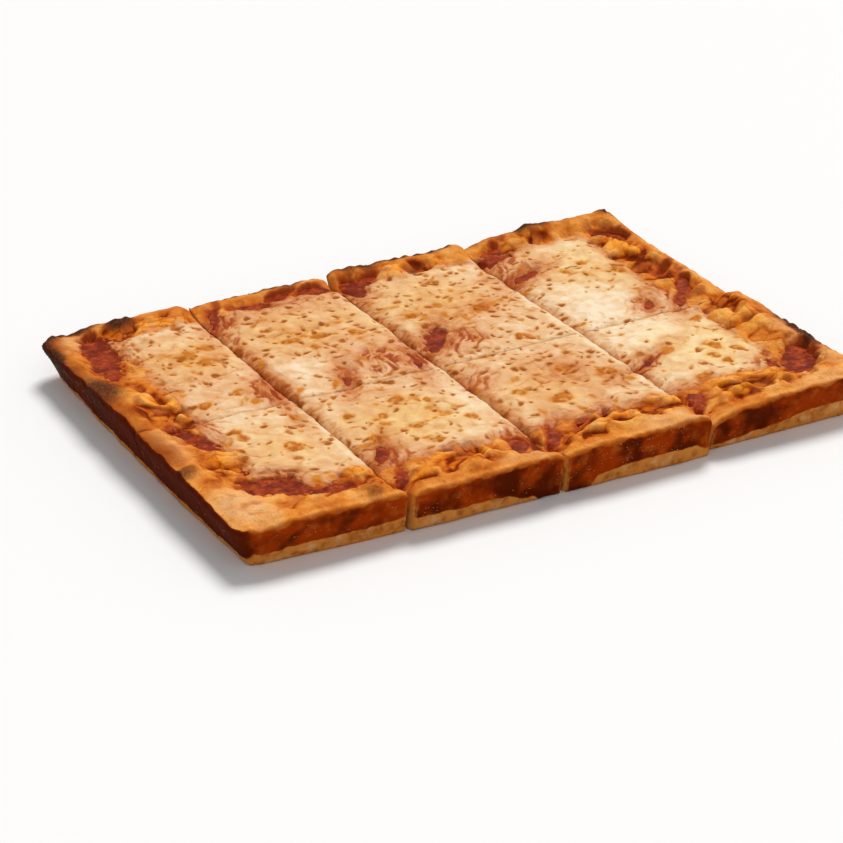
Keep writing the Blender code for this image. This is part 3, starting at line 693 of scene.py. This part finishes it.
def paint_rim(plan):
    """The colour of the rim, which starts in the border of the cheese."""
    on_rim = ease((0.0055 - plan.on_cheese + 0.005 * plan.grain + 0.006 * plan.toasted) / 0.009)
    on_rim = np.maximum(on_rim * (1 - plan.pool_near), ease((0.0005 - plan.on_cheese) / 0.001))
    level = 0.58 + 0.34 * rough(X, Y, 0.021, 55) + 0.2 * rough(X, Y, 0.0085, 56)
    level = level + 0.1 * (plan.fine + plan.floury + plan.band)
    # A painted highlight: a lighter line along the rim's rounded outer edge
    level = level + 0.12 * ease(1 - np.abs(plan.edge - 0.004) / 0.003)
    # Tops of bubbles and lumps are painted lighter as a painted highlight, with each lump's own tint, and
    # creases are painted darker as painted shade
    bump_light_and_tint = 0.6 * (plan.bubble - 0.6) + 0.25 * (plan.dome - 0.6) + 0.3 * (plan.tint - 0.5)
    level = level + plan.lumpy * bump_light_and_tint
    level = level - 0.85 * plan.crease - 170 * np.clip(plan.swell - 0.0012, 0, 0.004)
    rim = Paint(CRUST_TONES, level)
    rim.glaze(AMBER_GLAZE, plan.lumpy * ease(0.55 + 1.5 * rough(X, Y, 0.013, 63)))
    rim.glaze(AMBER_GLAZE, 0.6 * ease(1.6 * rough(X, Y, 0.016, 64) - 0.1) * (1 - plan.floury))
    rim.lay(CRUST_FLOUR, plan.floury * (0.65 + 0.6 * plan.grain))
    rim.lay(BLUSH, 0.65 * plan.band * ease(1.4 * noise(X, Y, 0.008, 57) - 0.05))
    rim.glaze(PINK_GLAZE, plan.by_pool * ease(0.7 + plan.grain))
    rim.lay(TOAST_BROWN, 0.85 * ease(1 - (plan.edge + 0.0012 * plan.grain) / 0.0034))
    uneven = noise(X, Y, 0.022, 66)
    browned = ease(1 - (plan.away["left"] + 0.006 * uneven) / 0.018) * ease((Y - 0.085) / 0.03)
    rim.lay(CRUST_BROWN, np.maximum(browned, 0.7 * ease(1 - (plan.away["back"] + 0.004 * uneven) / 0.006)))
    rim.lay(TOAST_BROWN, 0.6 * ease(1.9 * rough(X, Y, 0.0065, 58) - 0.6))
    rim.lay(SAUCE_STAIN, 0.9 * ease((0.0034 - plan.pool + 0.002 * plan.grain) / 0.0032))
    speckled = ease(0.5 + 1.8 * rough(X, Y, 0.0013, 59))
    rim.lay(CRUST_BROWN, 1.3 * plan.charred)
    rim.lay(SOOT, plan.charred * (0.35 + 0.8 * speckled))
    rim.lay(CHAR, 1.2 * (plan.charred - 0.35) * (0.3 + 0.9 * speckled))
    plan.colour = plan.cheese_colour + (rim.colour - plan.cheese_colour) * on_rim[..., None]
    plan.char = np.clip(plan.charred * (0.9 + 0.6 * plan.fine), 0, 1)


def lay_out_plan():
    plan = Plan()
    measure(plan)
    lay_borders(plan)
    fold_rim(plan)
    raise_crust(plan)
    spread_cheese(plan)
    fill_sauce(plan)
    paint_cheese(plan)
    paint_rim(plan)
    return plan


# The slices

class Slice:
    """One slice's place in the plan."""

    def __init__(self, row, column):
        self.name = f"{row}_{column + 1}"
        self.front = row == "front"
        self.column = column
        self.left_is_rim = column == 0
        self.right_is_rim = column == len(CUTS_ACROSS)

    def half_kerf(self, y):
        to_rim = np.abs(y - WIDTH / 2) / (WIDTH / 2)
        half = (KERF + (KERF_AT_RIM - KERF) * ease((to_rim - 0.55) / 0.4)) / 2
        return half + NOTCH * np.exp(-np.abs(y - self.outer()) / NOTCH_REACH)

    def left(self, y):
        if self.left_is_rim:
            return np.zeros_like(y)
        return cut_place(self.column - 1, y) + self.half_kerf(y)

    def right(self, y):
        if self.right_is_rim:
            return np.full_like(y, LENGTH - SET_IN.get(self.name, 0.0))
        return cut_place(self.column, y) - self.half_kerf(y)

    def middle(self, x):
        to_rim = np.abs(x - LENGTH / 2) / (LENGTH / 2)
        gap = KERF + (KERF_AT_RIM - KERF) * ease((to_rim - 0.7) / 0.25)
        return MIDDLE_CUT - gap / 2 if self.front else MIDDLE_CUT + gap / 2

    def outer(self):
        return SET_BACK.get(self.name, 0.0) if self.front else WIDTH

    def grid(self, step, rim_gap):
        """Plan positions of a fine grid over the slice, which starts rim_gap inside each rim's edge."""
        x_line = np.array([self.left(np.array(MIDDLE_CUT)), self.right(np.array(MIDDLE_CUT))])
        columns = int(round((x_line[1] - x_line[0]) / step)) + 1
        rows = int(round(abs(MIDDLE_CUT - self.outer()) / step)) + 1
        u, v = np.meshgrid(np.linspace(0, 1, columns), np.linspace(0, 1, rows))
        x = x_line[0] + (x_line[1] - x_line[0]) * u
        y = np.full_like(x, self.outer())
        for _ in range(3):
            ends = (self.outer() + rim_gap("front" if self.front else "back", x), self.middle(x))
            if not self.front:
                ends = (self.middle(x), self.outer() - rim_gap("back", x))
            y = ends[0] + (ends[1] - ends[0]) * v
            low = self.left(y) + (rim_gap("left", y) if self.left_is_rim else 0.0)
            high = self.right(y) - (rim_gap("right", y) if self.right_is_rim else 0.0)
            x = low + (high - low) * u
        return x, y


def every_slice():
    return [Slice(row, column) for row in ("front", "back") for column in range(len(CUTS_ACROSS) + 1)]


def rounded(x, y):
    """Moves positions of the square plan so that the pizza's corners are round."""
    away_x = x - LENGTH / 2
    away_y = y - WIDTH / 2
    over_x = np.clip(np.abs(away_x) - (LENGTH / 2 - CORNER_REACH), 1e-9, None)
    over_y = np.clip(np.abs(away_y) - (WIDTH / 2 - CORNER_REACH), 1e-9, None)
    ring = np.maximum(over_x, over_y)
    norm = (over_x**CORNER_POWER + over_y**CORNER_POWER) ** (1 / CORNER_POWER)
    pull = np.where((over_x > 1e-8) & (over_y > 1e-8), 1 - ring / norm, 0.0)
    return x - np.sign(away_x) * over_x * pull, y - np.sign(away_y) * over_y * pull


def wall_lumps(place, height, seed):
    """How far the crust's side stands in, from its lumps."""
    lumps = 0.0011 * rough(place, height * 1.4, 0.022, seed)
    return 0.0008 - lumps - 0.00016 * rough(place, height, 0.004, seed + 3)


def shaped(x, y, height, top_height):
    """Position of a point of the crust's side or top, after the pan's slope, lumps and corners."""
    lower = np.clip(1 - height / np.maximum(top_height, 0.001), 0, 1)
    foot = FOOT_ROUND * (1 - np.sqrt(np.clip(1 - np.clip(1 - height / FOOT_ROUND, 0, 1) ** 2, 0, 1)))
    move_x = np.zeros_like(x)
    move_y = np.zeros_like(x)
    aways = {"left": x, "right": LENGTH - x, "front": y, "back": WIDTH - y}
    for seed, (side, away) in enumerate(aways.items(), 61):
        away = np.clip(away, 0, 1)
        place = y if side in ("left", "right") else x
        sign = 1 if side in ("left", "front") else -1
        slope = along(BASE_INSETS[side], place) * lower * np.clip(1 - away / INSET_REACH, 0, 1)
        near = np.exp(-away / 0.006)
        inward = sign * (slope + (wall_lumps(place, height, seed) + foot) * near)
        if side in ("left", "right"):
            move_x = move_x + inward
        else:
            move_y = move_y + inward
    return rounded(x + move_x, y + move_y)


# Meshes

def border(grid):
    """A grid's border, counter-clockwise from its first corner."""
    return np.concatenate([grid[0, :-1], grid[:-1, -1], grid[-1, :0:-1], grid[:0:-1, 0]])


def placed(name, content):
    """An object in the scene that shows a mesh, light or camera."""
    thing = bpy.data.objects.new(name, content)
    bpy.context.scene.collection.objects.link(thing)
    return thing


def carry_mask(mesh, name, values):
    layer = mesh.attributes.new(name, "FLOAT", "POINT")
    layer.data.foreach_set("value", np.array(values, dtype=np.float32))


def closed_mesh(name, top, rings, masks, material):
    """A closed mesh: a grid on top, rings that go down from its border, and a flat underside."""
    rows, columns = top.shape[:2]
    index = np.arange(rows * columns).reshape(rows, columns)
    loops = [border(index)]
    count = rows * columns
    for ring in rings:
        loops.append(np.arange(count, count + len(ring)))
        count += len(ring)
    points = np.concatenate([top.reshape(-1, 3)] + list(rings))
    points = points - np.array([LENGTH / 2, WIDTH / 2, 0.0])
    quads = np.stack([index[:-1, :-1], index[:-1, 1:], index[1:, 1:], index[1:, :-1]], axis=-1)
    quads = [quads.reshape(-1, 4)]
    for above, below in zip(loops, loops[1:]):
        quads.append(np.stack([above, below, np.roll(below, -1), np.roll(above, -1)], axis=-1))
    quads = np.concatenate(quads)
    mesh = bpy.data.meshes.new(name)
    mesh.vertices.add(len(points))
    mesh.vertices.foreach_set("co", points.ravel())
    corners = np.concatenate([quads.ravel(), loops[-1][::-1]])
    mesh.loops.add(len(corners))
    mesh.loops.foreach_set("vertex_index", corners.astype(np.int32))
    mesh.polygons.add(len(quads) + 1)
    mesh.polygons.foreach_set("loop_start", np.arange(len(quads) + 1, dtype=np.int32) * 4)
    mesh.update(calc_edges=True)
    mesh.validate()
    for mask, values in masks.items():
        if values.ndim == 2:
            layer = mesh.attributes.new(mask, "FLOAT_COLOR", "POINT")
            full = np.column_stack([values, np.ones(len(values))])
            layer.data.foreach_set("color", full.ravel().astype(np.float32))
        else:
            carry_mask(mesh, mask, values)
    mesh.materials.append(material)
    mesh.shade_smooth()
    mesh.set_sharp_from_angle(angle=math.radians(60))
    return placed(name, mesh)


def make_crust(slice_, plan, material):
    """A slice's crust: its top, its side down to the foot, and its underside."""
    x, y = slice_.grid(CRUST_STEP, lambda side, place: 0.0)
    height = read(plan.crust, x, y)
    edge = read(plan.edge, x, y)
    char = read(plan.char, x, y)
    colour = read(plan.colour, x, y)
    top = np.stack([*shaped(x, y, height, height), height], axis=-1)
    border_x, border_y, border_top, border_edge = border(x), border(y), border(height), border(edge)
    outside = 1 - ease((border_edge - 0.0008) / 0.001)
    inside = ease((border_edge - 0.004) / 0.008)
    reach = 0.0012 + 0.0014 * rough(x, y, 0.012, 71) + 0.0022 * ease(1 - x / 0.006)
    baked = [(0.95 * ease((reach - edge) / 0.003 + 0.2)).ravel()]
    charred = [char.ravel()]
    rings = []
    for level in WALL_LEVELS + FOOT_LEVELS:
        z = border_top * level
        rings.append(np.stack([*shaped(border_x, border_y, z, border_top), z], axis=-1))
        baked.append(baked_side(slice_, border_x, border_y, z, border_top) * outside)
        charred.append(border(char) * ease(level * 2 - 0.6))
    # Painted shade: the rim's top near the left edge, the left side and the back side are darkened in the
    # crust's material
    top_shade = SIDE_SHADE["left"] * ease(1 - x / SHADE_REACH)
    shade = np.maximum(border(top_shade), SIDE_SHADE["back"] * ease(1 - (WIDTH - border_y) / SHADE_REACH))
    masks = {
        "bake": np.concatenate(baked),
        "crumb": np.concatenate([np.zeros(x.size)] + [inside] * len(rings)),
        "shade": np.concatenate([top_shade.ravel()] + [shade] * len(rings)),
        "char": np.concatenate(charred),
        "top_colour": np.concatenate([colour.reshape(-1, 3)] + [border(colour)] * len(rings)),
    }
    return closed_mesh(f"baked_crust_{slice_.name}", top, rings, masks, material)


def baked_side(slice_, x, y, z, top):
    """The dark baked band of the crust's side: 0 in the pale band at its foot."""
    from_front = y - slice_.outer() if slice_.front else y
    distances = {"front": from_front, "back": WIDTH - y, "left": x, "right": LENGTH - x}
    total = np.zeros_like(x)
    weight = np.full_like(x, 1e-9)
    for seed, (side, away) in enumerate(distances.items(), 81):
        place = y if side in ("left", "right") else x
        near = np.exp(-np.clip(away, 0, 1) / 0.003)
        band = along(PALE_BAND[side], place) + 0.0014 * rough(place, z, 0.01, seed)
        total = total + near * ease((z - band) / 0.0036 + 0.5)
        weight = weight + near
    near_cut = np.full_like(x, 1.0)
    if not slice_.left_is_rim:
        near_cut = np.minimum(near_cut, x - slice_.left(y))
    if not slice_.right_is_rim:
        near_cut = np.minimum(near_cut, slice_.right(y) - x)
    corner = 0.55 * np.exp(-np.clip(near_cut, 0, 1) / 0.0035)
    top_fade = ease((top - z) / 0.0016 + 0.6)
    return total / weight * (1 - corner) * top_fade


def make_sauce(slice_, plan, material):
    """A slice's sauce: it lies in the pocket and runs a little under the crust's lip."""
    x, y = slice_.grid(SAUCE_STEP, lambda side, place: np.maximum(rim_line(side, place)[0] - 0.004, 0.004))
    height = read(plan.sauce, x, y)
    top = np.stack([*rounded(x, y), height], axis=-1)
    outline = np.stack(rounded(border(x), border(y)), axis=-1)
    rings = [np.column_stack([outline, np.full(len(outline), DOUGH_FLOOR + 0.0004)])]
    return closed_mesh(f"tomato_sauce_{slice_.name}", top, rings, {}, material)


def make_cheese(slice_, plan, material):
    """A slice's cheese: a sheet whose edges dip into the sauce and roll into the cuts."""
    x, y = slice_.grid(CHEESE_STEP, lambda side, place: np.maximum(rim_line(side, place)[1] - 0.006, 0.004))
    height = read(plan.sheet, x, y)
    top = np.stack([*rounded(x, y), height], axis=-1)
    border_x, border_y = border(x), border(y)
    side_z = np.minimum(border(height) - 0.0003, SAUCE_TOP + 0.0001)
    inner_x = border_x + 0.002 * np.sign(x.mean() - border_x)
    inner_y = border_y + 0.002 * np.sign(y.mean() - border_y)
    rings = [
        np.stack([*rounded(border_x, border_y), side_z], axis=-1),
        np.stack([*rounded(inner_x, inner_y), side_z - 0.0002], axis=-1),
        np.stack([*rounded(inner_x, inner_y), np.full(len(side_z), DOUGH_FLOOR + 0.0002)], axis=-1),
    ]
    colour = read(plan.colour, x, y)
    masks = {"top_colour": np.concatenate([colour.reshape(-1, 3)] + [border(colour)] * len(rings))}
    return closed_mesh(f"melted_cheese_{slice_.name}", top, rings, masks, material)


# Finishes

def add(tree, kind, inputs, **settings):
    """The outputs of a new node, whose inputs are plain values or other nodes' outputs."""
    node = tree.nodes.new(kind)
    for name, value in settings.items():
        setattr(node, name, value)
    for name, value in inputs.items():
        if isinstance(value, bpy.types.NodeSocket):
            tree.links.new(value, node.inputs[name])
        else:
            node.inputs[name].default_value = value
    return node.outputs


class Finish:
    """A food's material: its own colour, or that of its mesh, blended into others, with fine relief."""

    def __init__(self, name, gloss, colour=None):
        self.material = bpy.data.materials.new(name)
        self.material.use_nodes = True
        self.tree = self.material.node_tree
        self.shader = self.tree.nodes["Principled BSDF"].inputs
        self.shader["Specular IOR Level"].default_value = gloss
        self.shader["Specular Tint"].default_value = (*WARM_SHEEN, 1.0)
        self.place = add(self.tree, "ShaderNodeTexCoord", {})["Object"]
        self.colour = (*colour, 1.0) if colour else self.mask("top_colour", "Color")

    def mask(self, name, output="Fac"):
        """What the mesh carries under a name."""
        return add(self.tree, "ShaderNodeAttribute", {}, attribute_name=name)[output]

    def math(self, operation, first, second):
        return add(self.tree, "ShaderNodeMath", {0: first, 1: second}, operation=operation)[0]

    def both(self, first, second):
        """Two shares multiplied."""
        return self.math("MULTIPLY", first, second)

    def upward(self, vector):
        """The upward part of a place or a direction."""
        return add(self.tree, "ShaderNodeSeparateXYZ", {0: vector})["Z"]

    def lumps(self, size, detail=3.0):
        """Noise from 0 to 1 with lumps of a given size."""
        inputs = {"Vector": self.place, "Scale": 1 / size, "Detail": detail}
        return add(self.tree, "ShaderNodeTexNoise", inputs)["Fac"]

    def step(self, value, low, high):
        """0 below low, 1 above high, or the other way round where low is over high."""
        rising = float(low < high)
        inputs = {"Value": value, "From Min": min(low, high), "From Max": max(low, high)}
        inputs.update({"To Min": 1.0 - rising, "To Max": rising})
        return add(self.tree, "ShaderNodeMapRange", inputs, interpolation_type="SMOOTHSTEP")["Result"]

    def blend(self, colour, share):
        """Lays a colour over what is there, by a share."""
        inputs = {0: share, 6: self.colour, 7: (*colour, 1.0)}
        self.colour = add(self.tree, "ShaderNodeMix", inputs, data_type="RGBA")[2]

    def relief(self, height, depth):
        """Fine relief of a given depth."""
        inputs = {"Distance": depth, "Height": height}
        if self.shader["Normal"].is_linked:
            inputs["Normal"] = self.shader["Normal"].links[0].from_socket
        normal = add(self.tree, "ShaderNodeBump", inputs)["Normal"]
        self.tree.links.new(normal, self.shader["Normal"])

    def roughness(self, value, low, high):
        """Lets the roughness wander between two values."""
        inputs = {"Value": value, "To Min": low, "To Max": high}
        wander = add(self.tree, "ShaderNodeMapRange", inputs)["Result"]
        self.tree.links.new(wander, self.shader["Roughness"])

    def depth_of_light(self, weight, scale):
        """How much light passes under the surface, and how far."""
        self.shader["Subsurface Weight"].default_value = weight
        self.shader["Subsurface Radius"].default_value = (1.0, 0.45, 0.2)
        self.shader["Subsurface Scale"].default_value = scale

    def done(self):
        self.tree.links.new(self.colour, self.shader["Base Color"])
        return self.material


def plain_finish(name, colour):
    finish = Finish(name, 0.2, colour)
    soft = finish.lumps(0.0008)
    finish.blend(tuple(1.8 * part for part in colour), finish.step(soft, 0.45, 0.65))
    finish.relief(soft, 0.0001)
    return finish.done()


def cheese_finish():
    finish = Finish("melted_cheese", 0.018)
    soft = finish.lumps(0.0045)
    fine = finish.lumps(0.0012)
    finish.blend(MOTTLE, finish.both(finish.step(fine, 0.54, 0.72), 0.2))
    finish.blend(MILK, finish.both(finish.step(fine, 0.46, 0.28), 0.1))
    finish.relief(fine, 0.00022)
    finish.relief(soft, 0.0007)
    finish.roughness(soft, 0.26, 0.44)
    finish.depth_of_light(0.05, 0.0012)
    return finish.done()


def sauce_finish():
    finish = Finish("tomato_sauce", 0.06, SAUCE_RED)
    pulp = finish.lumps(0.003, detail=4.0)
    fine = finish.lumps(0.0009)
    finish.blend(SAUCE_BRIGHT, finish.step(pulp, 0.45, 0.66))
    finish.blend(SAUCE_DARK, finish.both(finish.step(finish.lumps(0.008), 0.58, 0.38), 0.75))
    finish.relief(fine, 0.00012)
    finish.relief(pulp, 0.0005)
    finish.roughness(pulp, 0.22, 0.42)
    return finish.done()


def crust_finish():
    finish = Finish("baked_crust", 0.012)
    soft = finish.lumps(0.006, detail=4.0)
    wide = finish.lumps(0.02)
    fine = finish.lumps(0.0012)
    grain = finish.lumps(0.0004)
    finish.blend(CRUST_BROWN, finish.both(finish.step(fine, 0.52, 0.72), 0.38))
    uneven = finish.both(finish.math("SUBTRACT", soft, 0.5), 0.5)
    baked = finish.step(finish.math("ADD", finish.mask("bake"), uneven), 0.22, 0.7)
    facing = add(finish.tree, "ShaderNodeNewGeometry", {})["Normal"]
    low = finish.step(finish.upward(finish.place), *FOOT_ENDS)
    foot = finish.both(finish.step(finish.upward(facing), 0.5, 0.15), low)
    brown = finish.both(finish.step(soft, 0.45, 0.72), 0.75)
    flour = finish.both(finish.step(finish.lumps(0.009), 0.5, 0.75), 0.5)
    finish.blend(CRUST_FOOT, foot)
    finish.blend(CRUST_BROWN, finish.both(foot, brown))
    finish.blend(CRUST_FLOUR, finish.both(foot, flour))
    finish.blend(CRUST_RED, baked)
    ruddy = finish.both(finish.step(soft, 0.5, 0.68), 0.45)
    finish.blend(WALL_BROWN, finish.both(baked, ruddy))
    # Random dark patches, and the painted shade that the mesh carries as its shade mask
    dark = finish.math("MAXIMUM", finish.step(wide, 0.6, 0.35), finish.mask("shade"))
    finish.blend(CRUST_DARK_AND_SHADE, finish.both(baked, finish.both(dark, 0.86)))
    finish.blend(CRUMB, finish.mask("crumb"))
    finish.blend(CHAR, finish.both(finish.mask("char"), finish.step(fine, 0.3, 0.6)))
    finish.relief(grain, 0.00008)
    finish.relief(fine, 0.0004)
    finish.relief(soft, 0.0012)
    finish.roughness(soft, 0.42, 0.65)
    finish.depth_of_light(0.04, 0.002)
    return finish.done()


# Flecks and crumbs

def crust_outside(plan):
    """A strip of faces on each outer side and over the rim's edge, for the scattered pieces to lie on."""
    points = []
    faces = []
    blistered = []
    charred = []
    for slice_ in every_slice():
        x, y = slice_.grid(SCATTER_STEP, lambda side, place: 0.0)
        rim_x, rim_y = border(x), border(y)
        rim_z = border(read(plan.crust, x, y))
        rim_edge = border(read(plan.edge, x, y))
        outside = rim_edge < 0.0008
        over_x = rim_x + STRIP_REACH * np.sign(x.mean() - rim_x) * (rim_edge < 0.001)
        over_y = rim_y + STRIP_REACH * np.sign(y.mean() - rim_y) * (rim_edge < 0.001)
        over_z = read(plan.crust, over_x, over_y)
        rings = [np.stack([*shaped(over_x, over_y, over_z, over_z), over_z], axis=-1)]
        for level in STRIP:
            z = rim_z * level
            rings.append(np.stack([*shaped(rim_x, rim_y, z, rim_z), z], axis=-1))
        char = ease((read(plan.char, rim_x, rim_y) - 0.56) / 0.2)
        count = len(rim_x)
        for level, ring in enumerate(rings):
            start = len(points)
            points.extend(ring)
            z = ring[:, 2]
            baked = baked_side(slice_, rim_x, rim_y, z, rim_z) * (level > 0)
            clumps = noise(rim_x + rim_y, z, 0.012, 91) + noise(rim_x + rim_y, z, 0.05, 92)
            blistered.extend(np.where(baked > 0.5, ease(1.6 * clumps), 0.0))
            charred.extend(char * (1 <= level < 4))
            for i in range(count):
                j = (i + 1) % count
                if level and outside[i] and outside[j]:
                    faces.append((start - count + i, start + i, start + j, start - count + j))
    mesh = bpy.data.meshes.new("crust_outside")
    mesh.from_pydata(np.array(points) - np.array([LENGTH / 2, WIDTH / 2, 0.0]), [], faces)
    carry_mask(mesh, "blistered", blistered)
    carry_mask(mesh, "charred", charred)
    return placed("crust_outside", mesh)


def scatter_group(mask, material):
    """Small lumps on faces where a mask is high, as geometry nodes."""
    group = bpy.data.node_groups.new(f"scatter_{mask}", "GeometryNodeTree")
    group.interface.new_socket("Geometry", in_out="INPUT", socket_type="NodeSocketGeometry")
    for name in SCATTER_INPUTS:
        group.interface.new_socket(name, in_out="INPUT", socket_type="NodeSocketFloat")
    group.interface.new_socket("Geometry", in_out="OUTPUT", socket_type="NodeSocketGeometry")
    given = add(group, "NodeGroupInput", {})
    here = add(group, "GeometryNodeInputNamedAttribute", {"Name": mask}, data_type="FLOAT")["Attribute"]
    density = add(group, "ShaderNodeMath", {0: here, 1: given["Density"]}, operation="MULTIPLY")[0]
    inputs = {"Mesh": given["Geometry"], "Density": density, "Seed": 4}
    spread = add(group, "GeometryNodeDistributePointsOnFaces", inputs)
    inputs = {"Radius": 1.0, "Subdivisions": 2 if mask == "charred" else 1}
    lump = add(group, "GeometryNodeMeshIcoSphere", inputs)["Mesh"]
    inputs = {2: given["Smallest"], 3: given["Largest"], "Seed": 9}
    size = add(group, "FunctionNodeRandomValue", inputs, data_type="FLOAT")[1]
    shape = add(group, "ShaderNodeCombineXYZ", {"X": 1.0, "Y": 0.65, "Z": given["Flatness"]})[0]
    scale = add(group, "ShaderNodeVectorMath", {0: shape, "Scale": size}, operation="SCALE")[0]
    inputs = {"Points": spread["Points"], "Instance": lump, "Rotation": spread["Rotation"], "Scale": scale}
    lumps = add(group, "GeometryNodeInstanceOnPoints", inputs)[0]
    real = add(group, "GeometryNodeRealizeInstances", {0: lumps})[0]
    wander = add(group, "ShaderNodeTexNoise", {"Scale": 900.0})["Color"]
    inputs = {0: wander, 1: (0.5, 0.5, 0.5)}
    centred = add(group, "ShaderNodeVectorMath", inputs, operation="SUBTRACT")[0]
    inputs = {0: centred, "Scale": given["Roughening"]}
    push = add(group, "ShaderNodeVectorMath", inputs, operation="SCALE")[0]
    moved = add(group, "GeometryNodeSetPosition", {"Geometry": real, "Offset": push})[0]
    dressed = add(group, "GeometryNodeSetMaterial", {"Geometry": moved, "Material": material})[0]
    group.links.new(dressed, group.nodes.new("NodeGroupOutput").inputs[0])
    return group


def scatter(name, strip, mask, material, sizes):
    """One mesh of small lumps on the strip where its mask is high."""
    values = dict(zip(SCATTER_INPUTS, sizes))
    group = scatter_group(mask, material)
    modifier = strip.modifiers.new(name, "NODES")
    modifier.node_group = group
    for item in group.interface.items_tree:
        if item.in_out == "INPUT" and item.name in values:
            modifier[item.identifier] = values[item.name]
    bpy.context.view_layer.update()
    ready = strip.evaluated_get(bpy.context.evaluated_depsgraph_get())
    mesh = bpy.data.meshes.new_from_object(ready)
    strip.modifiers.remove(modifier)
    mesh.shade_smooth()
    return placed(name, mesh)


def make_flecks(plan, crust_nodes):
    """Small blisters on the baked side, whose paler colour is partly a painted highlight, and burnt crumbs
    along the charred edges.
    """
    strip = crust_outside(plan)
    pale = plain_finish("glinting_blisters", FLECK_AND_GLINT)
    burnt = plain_finish("burnt_crumbs", CHAR)
    flecks = scatter("glinting_blisters", strip, "blistered", pale, BLISTER_SIZES)
    crumbs = scatter("burnt_crumbs", strip, "charred", burnt, CRUMB_SIZES)
    bpy.data.objects.remove(strip, do_unlink=True)
    for piece in (flecks, crumbs):
        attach(piece, "root")
        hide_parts(*crust_nodes)


# Floor, light and camera

def lay_floor():
    bpy.ops.mesh.primitive_plane_add(size=FLOOR_SIZE, location=(0, 0, 0))
    floor = bpy.context.active_object
    floor.name = "floor"
    material = bpy.data.materials.new("pale_floor")
    material.use_nodes = True
    shader = material.node_tree.nodes["Principled BSDF"].inputs
    shader["Base Color"].default_value = (FLOOR_GREY, FLOOR_GREY, FLOOR_GREY, 1.0)
    shader["Roughness"].default_value = 0.8
    floor.data.materials.append(material)


def soft_sun(name, place, spread, strength, colour):
    """Even light from one direction, with soft shadows."""
    data = bpy.data.lights.new(name, "SUN")
    data.angle = math.radians(spread)
    data.energy = strength
    data.color = colour
    light = placed(name, data)
    light.location = place
    light.rotation_euler = (-light.location).to_track_quat("-Z", "Y").to_euler()


def light_studio():
    world = bpy.data.worlds.new("studio")
    world.use_nodes = True
    sky = world.node_tree.nodes["Background"].inputs
    sky["Color"].default_value = (1.0, 1.0, 1.0, 1.0)
    sky["Strength"].default_value = SKY_STRENGTH
    bpy.context.scene.world = world
    soft_sun("key_light", *KEY_LIGHT)
    soft_sun("fill_light", *FILL_LIGHT)


def set_camera():
    data = bpy.data.cameras.new("camera")
    data.sensor_width = SENSOR
    data.lens = LENS
    data.clip_end = 50.0
    camera = placed("camera", data)
    camera.location = CAMERA_PLACE
    camera.rotation_euler = Euler([math.radians(angle) for angle in CAMERA_TURN])
    bpy.context.scene.camera = camera
    bpy.context.scene.view_settings.view_transform = "Standard"


def carry(piece, node):
    """Makes a piece stand for a solid of the frame."""
    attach(piece, "root")
    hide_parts(node)


def main():
    set_camera()
    light_studio()
    lay_floor()
    plan = lay_out_plan()
    crust = crust_finish()
    sauce = sauce_finish()
    cheese = cheese_finish()
    for slice_ in every_slice():
        carry(make_crust(slice_, plan, crust), f"crust_{slice_.name}")
        carry(make_sauce(slice_, plan, sauce), f"sauce_{slice_.name}")
        carry(make_cheese(slice_, plan, cheese), f"cheese_{slice_.name}")
    make_flecks(plan, [f"crust_{slice_.name}" for slice_ in every_slice()])


main()
